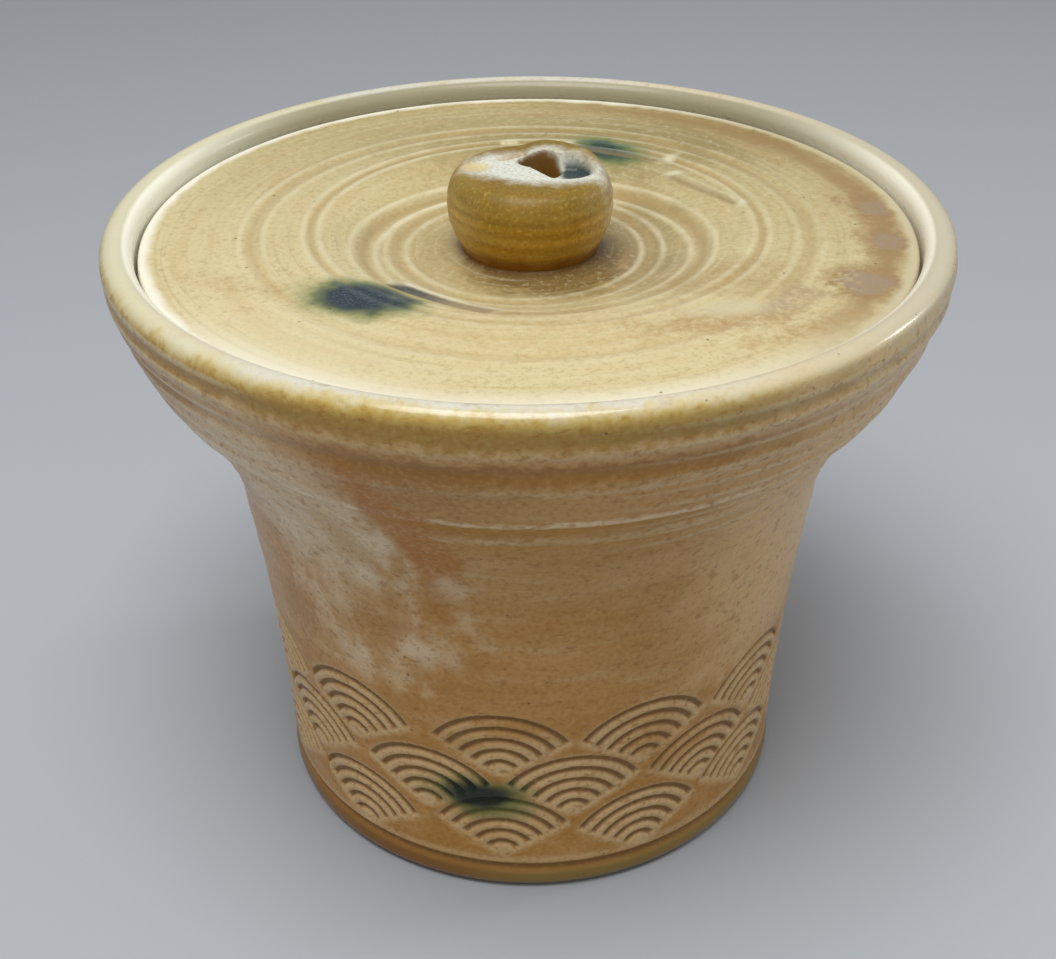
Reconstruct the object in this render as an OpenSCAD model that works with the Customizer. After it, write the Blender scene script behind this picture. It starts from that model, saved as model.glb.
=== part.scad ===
// Mizusashi, the fresh-water jar of the tea room: a wheel-thrown jar with a flaring rim,
// a drop-in lid that rests on a ledge inside the rim, and a pinched knob luted to the lid.
// Millimetres, +Z up, origin on the jar's axis at the surface it stands on, front towards -Y.

/* [Jar] */
// Height from the foot to the crest of the rim
jar_h = 151; // [140:0.5:190]
// Outside diameter of the rim at its widest
rim_d = 190; // [180:0.5:220]
// Outside diameter of the wall at the foot
base_d = 129.6; // [110:0.2:133]
// Outside diameter of the wall where the wave band ends
band_d = 134.8; // [126:0.2:138]
// Outside diameter of the neck, where the wall begins to flare
neck_d = 141.6; // [136:0.2:150]
// Height of the flare, from the neck to the collar edge
flare_h = 34; // [28:0.5:40]
// Height of the rim band, from the collar edge to the crest
rim_band_h = 27.5; // [22:0.5:32]
// Outward lean of the rim band from upright
rim_band_lean = 21.5; // [16:0.5:26]
// Radius of the sweep that brings the rim band upright below the lip
rim_sweep_r = 25; // [14:0.5:32]
// Thickness of the rounded lip
lip_t = 6.8; // [5:0.1:9]
// Thickness of the thrown wall, measured level
wall_t = 8; // [6:0.1:10]
// Thickness of the floor
floor_t = 7; // [5:0.1:10]
// Radius of the inside corner between floor and wall
corner_r = 12; // [6:0.5:20]

/* [Foot] */
// Rounding of the foot's outer edge
foot_round = 2.2; // [1:0.1:4]
// Width of the turned foot ring that the jar stands on
foot_ring_w = 10; // [6:0.5:16]
// Depth of the recess turned inside the foot ring
foot_recess = 3; // [1.5:0.1:5]
// Height of the line turned round the wall above the foot
foot_line_h = 8.8; // [7:0.1:10]
// Radius of that turned line
foot_line_r = 1.1; // [0.6:0.1:1.6]

/* [Lid seat] */
// Depth of the ledge that carries the lid, below the crest
seat_depth = 11.4; // [9:0.1:14]
// Width of that ledge
ledge_w = 9; // [6:0.1:12]
// Rounding of the ledge's inner edge
ledge_round = 1.6; // [0.8:0.1:3]
// Gap all round between the lid and the wall of its seat
lid_gap = 1; // [0.5:0.1:2]

/* [Lid] */
// Thickness of the lid
lid_t = 7; // [5.5:0.1:9]
// Rounding of the lid's upper edge
lid_round = 2.4; // [1:0.1:3]
// Rounding of the lid's lower edge
lid_under_round = 1.4; // [0.6:0.1:2]
// Depth of the dish in the middle of the lid
dish_depth = 5.3; // [3:0.1:6.5]
// Diameter at which the dish begins
dish_d = 104; // [90:1:130]
// Diameter of the dish's level floor
dish_floor_d = 50; // [44:1:60]
// Number of thrown rings in the lid's face
ring_count = 4; // [1:1:4]
// Diameter of the first thrown ring
ring_first_d = 52; // [48:1:60]
// Step in radius from one thrown ring to the next
ring_pitch = 12.5; // [8:0.5:14]
// Width of a thrown ring
ring_w = 3.4; // [2:0.1:5]
// Depth of a thrown ring
ring_depth = 0.5; // [0.3:0.1:1]
// Length of each gouged stroke across the rings
stroke_l = 28; // [16:1:36]
// Width of each gouged stroke
stroke_w = 4.4; // [2.5:0.1:6]
// Depth of each gouged stroke
stroke_depth = 0.8; // [0.4:0.1:1.4]

/* [Knob] */
// Height of the knob above the dish
knob_h = 20.2; // [16:0.1:24]
// Diameter of the knob's belly
knob_d = 37.4; // [34:0.2:44]
// Diameter of the knob's foot on the lid
knob_foot_d = 31; // [24:0.2:32]
// Height of the belly above the knob's foot
knob_belly_h = 10.6; // [8:0.1:12]
// Rounding of the knob's shoulder
knob_round = 3.6; // [2:0.1:4.5]
// How far the knob was set to the right of the lid's middle
knob_right = 0.4; // [0:0.1:2]
// How far the knob was set to the front of the lid's middle
knob_front = 1.5; // [0:0.1:3]
// Slope of the pinched top, down to the front left
knob_slope = 3.5; // [0:0.1:6]
// Diameter of the shallow mouth in the pinched top
knob_mouth_d = 15; // [12:0.5:18]
// Depth of that mouth
knob_mouth_depth = 4.5; // [3:0.1:5]
// Distance of the mouth's middle from the knob's axis
knob_mouth_off = 7.5; // [5:0.1:8]
// Diameter of the hole that runs down from the mouth where the clay was folded
knob_hole_d = 8.6; // [6:0.1:10]
// Depth of that hole
knob_hole_depth = 9; // [6:0.1:11]
// Width of the seam where the clay was pinched shut
knob_seam_w = 1.8; // [0.8:0.1:2.5]
// Diameter of the thumb's dimple on the closed side
knob_dimple_d = 6; // [3:0.1:7]

/* [Wave band] */
// Number of rows of stamped waves
wave_rows = 3; // [1:1:3]
// Number of stamped fans round each row
wave_count = 12; // [6:1:12]
// Number of grooves in one fan
wave_lines = 5; // [2:1:5]
// Radius of a fan's outer groove
wave_r = 18.1; // [16:0.1:18.5]
// Step in radius from one groove to the next
wave_step = 3.5; // [2.5:0.1:3.7]
// Half of the angle that a fan opens to
wave_half_angle = 57; // [40:1:60]
// Height from one row to the next
wave_row_pitch = 13.8; // [13:0.1:16]
// Height of the lowest row's fan centres
wave_first_h = 10.4; // [10:0.1:14]
// Width of a stamped groove
groove_w = 1.3; // [0.8:0.1:1.8]
// Depth of a stamped groove
groove_depth = 0.9; // [0.4:0.1:1.4]
// Turn of the wave band round the jar, from the front to the right
wave_turn = -6.3; // [-15:0.1:15]

/* [Hidden] */
$fn = 96;

// Jar radii and heights
base_r = base_d / 2;
band_r = band_d / 2;
neck_r = neck_d / 2;
rim_r = rim_d / 2;
lip_r = lip_t / 2;
lip_z = jar_h - lip_r;
gallery_r = rim_r - lip_t;
ledge_r = gallery_r - ledge_w;
ledge_z = jar_h - seat_depth;
floor_z = foot_recess + floor_t;
wave_band_margin = 2.4;
band_h = wave_first_h + (wave_rows - 1) * wave_row_pitch + wave_r + wave_band_margin;
collar_z = jar_h - rim_band_h;
neck_z = collar_z - flare_h;
sweep_z = lip_z - rim_sweep_r * sin(rim_band_lean);
sweep_r = rim_r - rim_sweep_r * (1 - cos(rim_band_lean));
collar_r = sweep_r - (sweep_z - collar_z) * tan(rim_band_lean);

// The flare is one arc that leaves the neck along the wall below it and ends at the collar edge
neck_lean = atan((neck_r - band_r) / (neck_z - band_h));
flare_lean = 2 * atan((collar_r - neck_r) / flare_h) - neck_lean;
flare_r = flare_h / (sin(flare_lean) - sin(neck_lean));

// Lid and knob heights
lid_r = gallery_r - lid_gap;
lid_z = ledge_z + lid_t;
dish_r = dish_d / 2;
dish_floor_r = dish_floor_d / 2;
knob_z = lid_z - dish_depth;
knob_r = knob_d / 2;

// Middle of each gouged stroke on the lid: angle from +X and distance from the axis
strokes = [[241, 40], [24, 45], [64, 49]];

// Where the hand pinched the knob: angles from +X, and the hole's place as a share of the mouth's
pinch_angle = 66;
mouth_angle = -10;
seam_angle = 128;
dimple_angle = 180;
hole_share = 0.42;

// Extra length of a cutting shape past the face it cuts
over = 4;

// Points of an arc, from angle a to angle b, leaving out the first few where asked
function arc(x, y, r, a, b, steps, first = 0) =
    [for (i = [first:steps]) let (t = a + (b - a) * i / steps) [x + r * cos(t), y + r * sin(t)]];

// Radius of the plain wall at a height within the wave band
function band_wall(z) = base_r + (band_r - base_r) * z / band_h;

// Depth of the lid's dish at a distance from the axis
function dish(r) =
    r >= dish_r ? 0 :
    r <= dish_floor_r ? dish_depth :
    dish_depth * (1 + cos(180 * (r - dish_floor_r) / (dish_r - dish_floor_r))) / 2;

// Wall of the flare, from the neck up to the collar edge
flare_points = arc(
    neck_r + flare_r * cos(neck_lean), neck_z - flare_r * sin(neck_lean),
    flare_r, 180 - neck_lean, 180 - flare_lean, 10);

// Outside of the jar, from the foot ring up and over the lip
jar_outside = concat(
    arc(base_r - foot_round, foot_round, foot_round, -90, 0, 4),
    arc(band_wall(foot_line_h), foot_line_h, foot_line_r, -90, -270, 6),
    [[band_r, band_h]],
    flare_points,
    arc(rim_r - rim_sweep_r, lip_z, rim_sweep_r, -rim_band_lean, 0, 4),
    arc(rim_r - lip_r, lip_z, lip_r, 0, 180, 10, first = 1));

// Inside of the jar, from the lid's seat down to the floor and out under the foot
inner_r = band_wall(floor_z + corner_r) - wall_t;
jar_inside = concat(
    [[gallery_r, ledge_z]],
    arc(ledge_r + ledge_round, ledge_z - ledge_round, ledge_round, 90, 180, 4),
    [for (i = [len(flare_points) - 1:-1:0]) [min(flare_points[i][0] - wall_t, ledge_r), flare_points[i][1]]],
    [[band_r - wall_t, band_h]],
    arc(inner_r - corner_r, floor_z + corner_r, corner_r, 0, -90, 5),
    [[0, floor_z], [0, foot_recess]],
    [[base_r - foot_ring_w, foot_recess], [base_r - foot_ring_w, 0]]);

// Section of the lid: its dished face out from the middle, its edge, and its underside back
dish_steps = 8;
dish_radii = [for (i = [0:dish_steps]) dish_floor_r + (dish_r - dish_floor_r) * i / dish_steps];
lid_section = concat(
    [[0, knob_z]],
    [for (r = dish_radii) [r, lid_z - dish(r)]],
    arc(lid_r - lid_round, lid_z - lid_round, lid_round, 90, 0, 4),
    arc(lid_r - lid_under_round, ledge_z + lid_under_round, lid_under_round, 0, -90, 3),
    [for (i = [dish_steps:-1:0]) [dish_radii[i], ledge_z - dish(dish_radii[i])]],
    [[0, ledge_z - dish_depth]]);

// Section of the knob: one bulging side from foot to shoulder, then a rounded shoulder
knob_foot_in = (knob_d - knob_foot_d) / 2;
side_r = (pow(knob_belly_h, 2) + pow(knob_foot_in, 2)) / (2 * knob_foot_in);
side_low = -asin(knob_belly_h / side_r);
shoulder_z = knob_h - knob_round;
side_high = asin((shoulder_z - knob_belly_h) / (side_r - knob_round));
shoulder_x = knob_r - side_r + (side_r - knob_round) * cos(side_high);
knob_section = concat(
    [[0, 0]],
    arc(knob_r - side_r, knob_belly_h, side_r, side_low, side_high, 10),
    arc(shoulder_x, shoulder_z, knob_round, side_high, 90, 5, first = 1),
    [[0, knob_h]]);

// One stamped fan of grooves, reaching through the wall at the front of the jar
module wave_fan() {
    rotate([90, 0, 0])
        for (i = [0:wave_lines - 1])
            rotate([0, 0, 90 - wave_half_angle])
                rotate_extrude(angle = 2 * wave_half_angle)
                    translate([wave_r - i * wave_step - groove_w / 2, base_r - wave_r])
                        square([groove_w, band_r - base_r + wave_r + over]);
}

// All the stamped fans, alternate rows turned by half a fan
module wave_fans() {
    fan_turn = 360 / wave_count;
    for (row = [0:wave_rows - 1], i = [0:wave_count - 1])
        rotate([0, 0, wave_turn + (i + (row % 2) / 2) * fan_turn])
            translate([0, 0, wave_first_h + row * wave_row_pitch])
                wave_fan();
}

// The stamped grooves: the fans as deep as the stamp was pressed into the wall
module wave_grooves() {
    difference() {
        wave_fans();
        cylinder(h = band_h, r1 = base_r - groove_depth, r2 = band_r - groove_depth);
    }
}

// The thrown jar, with its lid seat, turned foot and stamped wave band
module jar_body() {
    color("#b58a4e")
        difference() {
            rotate_extrude() polygon(concat(jar_outside, jar_inside));
            wave_grooves();
        }
}

// One thrown ring in the face of the lid
module thrown_ring(r) {
    bow = (pow(ring_w / 2, 2) + pow(ring_depth, 2)) / (2 * ring_depth);
    rotate_extrude()
        translate([r, lid_z - dish(r) + bow - ring_depth])
            circle(r = bow);
}

// One gouged stroke with round ends, lying across the rings
module stroke(angle, distance) {
    rotate([0, 0, angle])
        translate([distance, 0, lid_z - dish(distance) - stroke_depth])
            linear_extrude(dish_depth + stroke_depth + over) {
                square([stroke_w, stroke_l - stroke_w], center = true);
                for (side = [-1, 1])
                    translate([0, side * (stroke_l - stroke_w) / 2])
                        circle(d = stroke_w);
            }
}

// The drop-in lid, dished in the middle, with its thrown rings and gouged strokes
module lid_plate() {
    color("#cdb268")
        difference() {
            rotate_extrude() polygon(lid_section);
            for (i = [0:ring_count - 1])
                thrown_ring(ring_first_d / 2 + i * ring_pitch);
            for (s = strokes)
                stroke(s[0], s[1]);
        }
}

// A bowl cut into the knob's top: its width, its depth, and its middle as angle and distance
module knob_bowl(d, depth, angle, distance) {
    ball_r = (pow(d / 2, 2) + pow(depth, 2)) / (2 * depth);
    rotate([0, 0, angle])
        translate([distance, 0, knob_h + ball_r - depth])
            sphere(r = ball_r);
}

// The slope of the pinched top, hinged at its highest place at the back right
module knob_slope_cut() {
    rotate([0, 0, pinch_angle - 90])
        translate([0, knob_r / 2, knob_h])
            rotate([knob_slope, 0, 0])
                translate([-knob_d, -2 * knob_d, 0])
                    cube([2 * knob_d, 2 * knob_d, knob_h]);
}

// The pinched top: a shallow mouth to the right, a hole and a seam behind it, a dimple to the left
module knob_pinch() {
    seam_l = knob_r - knob_round;
    knob_bowl(knob_mouth_d, knob_mouth_depth, mouth_angle, knob_mouth_off);
    translate([knob_mouth_off * hole_share, knob_mouth_off * hole_share, knob_h - knob_hole_depth])
        cylinder(h = knob_hole_depth + over, d1 = knob_hole_d / 2, d2 = knob_hole_d);
    rotate([0, 0, seam_angle])
        translate([0, -knob_seam_w / 2, knob_h - 2 * knob_seam_w])
            cube([seam_l, knob_seam_w, 2 * knob_seam_w + over]);
    knob_bowl(knob_dimple_d, knob_dimple_d / 4, dimple_angle, seam_l - knob_dimple_d / 2);
    knob_slope_cut();
}

// The knob, luted to the floor of the dish a little off the lid's middle
module lid_knob() {
    color("#b98a3a")
        translate([knob_right, -knob_front, knob_z])
            difference() {
                rotate_extrude() polygon(knob_section);
                knob_pinch();
            }
}

jar_body();
lid_plate();
lid_knob();
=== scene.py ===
"""Looks of a yellow-glazed stoneware water jar: the thrown jar, its drop-in lid and the pinched knob.

Lengths are millimetres until a mesh is finished. Theta is the angle round +Z in degrees, from the front (-Y)
towards +X. A relief is written once, as a formula on plain arrays or on shader values, so that a groove in
a mesh and the glaze that pools in it always meet.
"""

import logging
import math
from abc import ABC, abstractmethod
from dataclasses import dataclass, field
from enum import Enum
from typing import Any, Union

import bmesh
import bpy
import numpy as np
from mathutils import Matrix, Vector
from mathutils.geometry import interpolate_bezier


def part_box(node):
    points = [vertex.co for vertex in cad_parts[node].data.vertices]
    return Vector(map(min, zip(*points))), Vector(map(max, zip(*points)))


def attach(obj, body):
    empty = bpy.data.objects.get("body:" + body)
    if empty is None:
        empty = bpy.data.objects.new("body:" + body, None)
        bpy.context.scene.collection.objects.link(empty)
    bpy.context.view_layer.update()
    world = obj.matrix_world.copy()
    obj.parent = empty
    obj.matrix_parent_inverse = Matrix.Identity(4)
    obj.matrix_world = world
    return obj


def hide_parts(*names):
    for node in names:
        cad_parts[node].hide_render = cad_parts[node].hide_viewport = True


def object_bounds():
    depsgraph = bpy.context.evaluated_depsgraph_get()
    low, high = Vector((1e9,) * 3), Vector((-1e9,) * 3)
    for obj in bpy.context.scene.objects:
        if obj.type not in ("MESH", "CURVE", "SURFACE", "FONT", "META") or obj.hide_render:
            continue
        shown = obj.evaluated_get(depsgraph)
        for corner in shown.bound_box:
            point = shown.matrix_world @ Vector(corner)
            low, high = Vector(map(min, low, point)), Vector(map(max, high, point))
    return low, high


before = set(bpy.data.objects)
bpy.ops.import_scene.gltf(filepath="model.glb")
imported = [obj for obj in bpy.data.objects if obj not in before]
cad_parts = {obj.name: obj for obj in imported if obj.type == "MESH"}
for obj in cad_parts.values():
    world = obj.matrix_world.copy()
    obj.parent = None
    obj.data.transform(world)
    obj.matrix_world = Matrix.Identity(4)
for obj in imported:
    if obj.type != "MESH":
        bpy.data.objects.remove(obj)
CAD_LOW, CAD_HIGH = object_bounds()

log = logging.getLogger("water_jar")

MM = 0.001
ROUND_HANDLE = 0.5523
WELD = 1e-4
DEGREE = math.radians(1.0)

Triple = tuple[float, float, float]
Colour = Triple
Point = tuple[float, float]
Handles = tuple[Point, Point]
Amount = Union[float, np.ndarray, "Value"]


class Body(Enum):
    """The two bodies that come apart in use."""

    JAR = "jar"
    LID = "lid"


class Op(Enum):
    """Operations of a Math node."""

    ADD = "ADD"
    SUBTRACT = "SUBTRACT"
    MULTIPLY = "MULTIPLY"
    DIVIDE = "DIVIDE"
    FLOOR = "FLOOR"
    ROOT = "SQRT"
    SINE = "SINE"
    BEARING = "ARCTAN2"
    SIZE = "ABSOLUTE"
    MOST = "MAXIMUM"


class Maths(ABC):
    """The arithmetic that a relief formula needs, on arrays of numbers or on shader values."""

    @abstractmethod
    def work(self, op: Op, *parts: Amount) -> Amount:
        """Does one operation on one or two values."""

    @abstractmethod
    def soft(self, low: float, high: float, value: Amount) -> Amount:
        """0 below low, 1 above high, and an S curve between them."""

    def floor(self, value: Amount) -> Amount:
        """The whole number at or below a value."""
        return self.work(Op.FLOOR, value)

    def root(self, value: Amount) -> Amount:
        """The square root of a value."""
        return self.work(Op.ROOT, value)

    def sine(self, degrees: Amount) -> Amount:
        """The sine of an angle in degrees."""
        return self.work(Op.SINE, degrees * DEGREE)

    def bearing(self, across: Amount, along: Amount) -> Amount:
        """The angle in degrees of a point, from the along axis towards the across axis."""
        return self.work(Op.BEARING, across, along) * math.degrees(1.0)

    def size(self, value: Amount) -> Amount:
        """A value without its sign."""
        return self.work(Op.SIZE, value)

    def most(self, first: Amount, second: Amount) -> Amount:
        """The larger of two values."""
        return self.work(Op.MOST, first, second)

    def hump(self, half_width: float, value: Amount) -> Amount:
        """1 where a value is 0, falling to 0 at half_width on both sides."""
        return 1.0 - self.soft(0.0, half_width, self.size(value))

    def inside(self, edge: float, blur: float, value: Amount) -> Amount:
        """1 where a value is below an edge, 0 above it, with a blurred step."""
        return 1.0 - self.soft(edge - blur, edge + blur, value)

    def reach(self, across: Amount, along: Amount) -> Amount:
        """The distance of a point from where both values are 0."""
        return self.root(across * across + along * along)

    def least(self, first: Amount, second: Amount) -> Amount:
        """The smaller of two values."""
        return -1.0 * self.most(-1.0 * first, -1.0 * second)


class Plain(Maths):
    """Arithmetic on arrays of numbers, for moving vertices."""

    WAYS = {Op.FLOOR: np.floor, Op.ROOT: np.sqrt, Op.SINE: np.sin, Op.BEARING: np.arctan2,
            Op.SIZE: np.abs, Op.MOST: np.maximum}

    def work(self, op: Op, *parts: Amount) -> Amount:
        """Does one operation on one or two values."""
        return self.WAYS[op](*parts)

    def soft(self, low: float, high: float, value: Amount) -> Amount:
        """0 below low, 1 above high, and an S curve between them."""
        share = np.clip((value - low) / (high - low), 0.0, 1.0)
        return share * share * (3.0 - 2.0 * share)


class Value:
    """Something that changes over a surface: one output socket, with operators that add Math nodes."""

    def __init__(self, bench: "Bench", socket: bpy.types.NodeSocket) -> None:
        """Keeps a socket and the bench that it is on."""
        self.bench = bench
        self.socket = socket

    def __add__(self, other: Amount) -> "Value":
        """self + other"""
        return self.bench.work(Op.ADD, self, other)

    def __sub__(self, other: Amount) -> "Value":
        """self - other"""
        return self.bench.work(Op.SUBTRACT, self, other)

    def __rsub__(self, other: Amount) -> "Value":
        """other - self"""
        return self.bench.work(Op.SUBTRACT, other, self)

    def __mul__(self, other: Amount) -> "Value":
        """self * other"""
        return self.bench.work(Op.MULTIPLY, self, other)

    def __truediv__(self, other: Amount) -> "Value":
        """self / other"""
        return self.bench.work(Op.DIVIDE, self, other)

    def __rtruediv__(self, other: Amount) -> "Value":
        """other / self"""
        return self.bench.work(Op.DIVIDE, other, self)

    def __neg__(self) -> "Value":
        """-self"""
        return self.bench.work(Op.MULTIPLY, self, -1.0)

    __radd__ = __add__
    __rmul__ = __mul__


class Bench(Maths):
    """Adds nodes to one material's or world's tree."""

    MIX_FIRST = 6
    MIX_SECOND = 7
    MIX_RESULT = 2
    GLAZE_IOR = 1.34
    COAT_ROUGHNESS = 0.12

    def __init__(self, tree: bpy.types.NodeTree) -> None:
        """Clears a tree and lays out the surface's own coordinates in millimetres.

        Args:
            tree: The node tree to fill.
        """
        self.tree = tree
        tree.nodes.clear()
        metres = self.node("ShaderNodeTexCoord").outputs["Object"]
        self.place = self.scaled(Value(self, metres), (1 / MM, 1 / MM, 1 / MM))
        parts = self.node("ShaderNodeSeparateXYZ", inputs={0: self.place})
        self.x, self.y, self.z = (Value(self, socket) for socket in parts.outputs)

    def node(self, kind: str, settings: dict[str, Any] | None = None,
             inputs: dict[Any, Any] | None = None) -> bpy.types.Node:
        """Adds any node.

        Args:
            kind: The node's type.
            settings: Its properties, with a ramp's colours as stops.
            inputs: Values or links of its sockets, by name or number.

        Returns:
            The new node.
        """
        node = self.tree.nodes.new(kind)
        for key, value in (settings or {}).items():
            if key == "stops":
                self.set_stops(node.color_ramp.elements, value)
            else:
                setattr(node, key, value)
        for key, value in (inputs or {}).items():
            if isinstance(value, Value):
                value = value.socket
            if isinstance(value, bpy.types.NodeSocket):
                self.tree.links.new(value, node.inputs[key])
            else:
                node.inputs[key].default_value = value
        return node

    @staticmethod
    def set_stops(elements: bpy.types.ColorRampElements, stops: list[tuple[float, Colour]]) -> None:
        """Puts colours on a ramp.

        Args:
            elements: The ramp's stops, two as Blender makes them.
            stops: Positions from 0 to 1, rising, each with its colour.
        """
        elements.remove(elements[1])
        elements[0].position = stops[0][0]
        elements[0].color = (*stops[0][1], 1.0)
        for position, colour in stops[1:]:
            elements.new(position).color = (*colour, 1.0)

    def made(self, kind: str, settings: dict[str, Any], inputs: dict[Any, Any], output: int = 0) -> Value:
        """Adds a node and takes up one of its outputs as a value."""
        return Value(self, self.node(kind, settings, inputs).outputs[output])

    def work(self, op: Op, *parts: Amount) -> Value:
        """Adds one Math node."""
        return self.made("ShaderNodeMath", {"operation": op.value}, dict(enumerate(parts)))

    def soft(self, low: float, high: float, value: Amount) -> Value:
        """0 below low, 1 above high, and an S curve between them."""
        inputs = {"Value": value, "From Min": low, "From Max": high}
        return self.made("ShaderNodeMapRange", {"interpolation_type": "SMOOTHSTEP"}, inputs)

    def vector(self, x: Amount, y: Amount, z: Amount) -> Value:
        """Three numbers as one vector."""
        return self.made("ShaderNodeCombineXYZ", {}, {0: x, 1: y, 2: z})

    def scaled(self, vector: Value, factors: Triple) -> Value:
        """A vector times three numbers."""
        return self.made("ShaderNodeVectorMath", {"operation": "MULTIPLY"}, {0: vector, 1: factors})

    def mix(self, share: Amount, first: Any, second: Any) -> Value:
        """Blends two colours.

        Args:
            share: How much of the second, from 0 to 1.
            first: A colour, or a value that is one.
            second: A colour, or a value that is one.

        Returns:
            The blended colour.
        """
        tints = [(*tint, 1.0) if isinstance(tint, tuple) else tint for tint in (first, second)]
        inputs = {0: share, self.MIX_FIRST: tints[0], self.MIX_SECOND: tints[1]}
        return self.made("ShaderNodeMix", {"data_type": "RGBA"}, inputs, self.MIX_RESULT)

    def laid(self, colour: Value, *layers: tuple[Amount, Any]) -> Value:
        """Lays colours over a colour.

        Args:
            colour: The colour below.
            layers: How much of each shows, from 0 to 1, with its colour, the topmost last.

        Returns:
            The colour with all of them on it.
        """
        for share, tint in layers:
            colour = self.mix(share, colour, tint)
        return colour

    def ramp(self, share: Amount, stops: list[tuple[float, Colour]]) -> Value:
        """A colour picked along a row of stops."""
        return self.made("ShaderNodeValToRGB", {"stops": stops}, {0: share})

    def noise(self, grain: float, detail: float = 2.0, stretch: Triple = (1.0, 1.0, 1.0),
              place: Value | None = None) -> Value:
        """Cloudy variation between 0 and 1.

        Args:
            grain: Size of its clouds in millimetres.
            detail: How many finer layers it has.
            stretch: How many times finer it is along each axis.
            place: Where to read it, the surface's own place if left out.

        Returns:
            The cloud value, about 0.5 on average.
        """
        spread = self.scaled(place or self.place, tuple(part / grain for part in stretch))
        inputs = {"Vector": spread, "Scale": 1.0, "Detail": detail}
        return self.made("ShaderNodeTexNoise", {}, inputs)

    @staticmethod
    def stray(cloud: Value, width: Amount) -> Value:
        """A cloud value spread about 0, as a shift to either side within a width."""
        return (cloud - 0.5) * width

    def specks(self, spacing: float, radius: float, share: float) -> Value:
        """Scattered round dots.

        Args:
            spacing: Distance between the places where a dot may be.
            radius: Radius of the largest dot.
            share: Share of those places that have a dot.

        Returns:
            1 in a dot and 0 outside.
        """
        spread = self.scaled(self.place, (1 / spacing,) * 3)
        dots = self.node("ShaderNodeTexVoronoi", inputs={"Vector": spread, "Scale": 1.0})
        lot = self.made("ShaderNodeSeparateColor", {}, {0: dots.outputs["Color"]})
        near = Value(self, dots.outputs["Distance"]) / (radius / spacing)
        return self.inside(0.75, 0.25, near) * self.soft(1.0 - share, 1.0 - share / 2, lot)

    def fired(self, colour: Value, roughness: Value, height: Value, coat: Value) -> None:
        """Ends a tree with a glazed surface.

        Args:
            colour: Base colour.
            roughness: Roughness of the glaze.
            height: Fine relief in millimetres.
            coat: Weight of the clear glassy top.
        """
        bump = self.node("ShaderNodeBump", inputs={"Height": height, "Strength": 1.0, "Distance": MM})
        inputs = {"Base Color": colour, "Roughness": roughness, "Coat Weight": coat,
                  "Coat Roughness": self.COAT_ROUGHNESS, "IOR": self.GLAZE_IOR, "Normal": bump.outputs[0]}
        shader = self.node("ShaderNodeBsdfPrincipled", inputs=inputs)
        self.node("ShaderNodeOutputMaterial", inputs={"Surface": shader.outputs[0]})


class Outline:
    """A half section drawn as (radius, height) points, to be turned on the wheel."""

    def __init__(self, start: Point) -> None:
        """Starts at a point."""
        self.points: list[Point] = [start]

    def line(self, end: Point, steps: int = 1) -> "Outline":
        """Runs straight to a point.

        Args:
            end: Where to go.
            steps: Number of pieces.

        Returns:
            The outline itself.
        """
        r, z = self.points[-1]
        shares = [step / steps for step in range(1, steps + 1)]
        self.points += [(r + (end[0] - r) * share, z + (end[1] - z) * share) for share in shares]
        return self

    def curve(self, lead: Point, trail: Point, end: Point, steps: int) -> "Outline":
        """Runs along a curve.

        Args:
            lead: Handle that the curve leaves towards.
            trail: Handle that it arrives from.
            end: Where to go.
            steps: Number of pieces.

        Returns:
            The outline itself.
        """
        knots = [Vector((r, z, 0.0)) for r, z in (self.points[-1], lead, trail, end)]
        self.points += [(spot.x, spot.y) for spot in interpolate_bezier(*knots, steps + 1)[1:]]
        return self

    def round(self, corner: Point, end: Point, steps: int) -> "Outline":
        """Rounds a corner on the way to a point.

        Args:
            corner: The sharp corner.
            end: Where the round ends.
            steps: Number of pieces.

        Returns:
            The outline itself.
        """
        ends = (self.points[-1], end)
        lead, trail = [tuple(at + (to - at) * ROUND_HANDLE for at, to in zip(spot, corner)) for spot in ends]
        return self.curve(lead, trail, end, steps)


class Wheel:
    """Turns outlines round +Z into one closed mesh: first a slice of the turn, then its copies."""

    DOUBLINGS = 3

    def __init__(self) -> None:
        """Starts with bare clay."""
        self.bm = bmesh.new()
        self.slice_angle = math.tau / 2 ** self.DOUBLINGS

    def turn(self, outline: Outline, steps: int) -> None:
        """Turns one outline through the slice.

        Args:
            outline: The half section.
            steps: Number of pieces round the slice.
        """
        verts = [self.bm.verts.new((r, 0.0, z)) for r, z in outline.points]
        edges = [self.bm.edges.new(pair) for pair in zip(verts, verts[1:])]
        bmesh.ops.spin(self.bm, geom=verts + edges, cent=(0, 0, 0), axis=(0, 0, 1), dvec=(0, 0, 0),
                       angle=self.slice_angle, steps=steps)

    def join(self, low: float, high: float) -> None:
        """Closes the gap between two open edges.

        Args:
            low: Height that both edges lie above.
            high: Height that both edges lie below.
        """
        rows = [edge for edge in self.bm.edges if edge.is_boundary
                and all(low < vert.co.z < high for vert in edge.verts)]
        bmesh.ops.bridge_loops(self.bm, edges=rows)

    def close(self) -> None:
        """Doubles the slice until the turn is full, and closes its seams and poles."""
        for doubling in range(self.DOUBLINGS):
            geom = self.bm.verts[:] + self.bm.edges[:] + self.bm.faces[:]
            copied = bmesh.ops.duplicate(self.bm, geom=geom)["geom"]
            copied = [part for part in copied if isinstance(part, bmesh.types.BMVert)]
            turn = Matrix.Rotation(self.slice_angle * 2 ** doubling, 3, "Z")
            bmesh.ops.rotate(self.bm, verts=copied, cent=(0, 0, 0), matrix=turn)
        bmesh.ops.remove_doubles(self.bm, verts=self.bm.verts, dist=WELD)
        bmesh.ops.recalc_face_normals(self.bm, faces=self.bm.faces)


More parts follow.
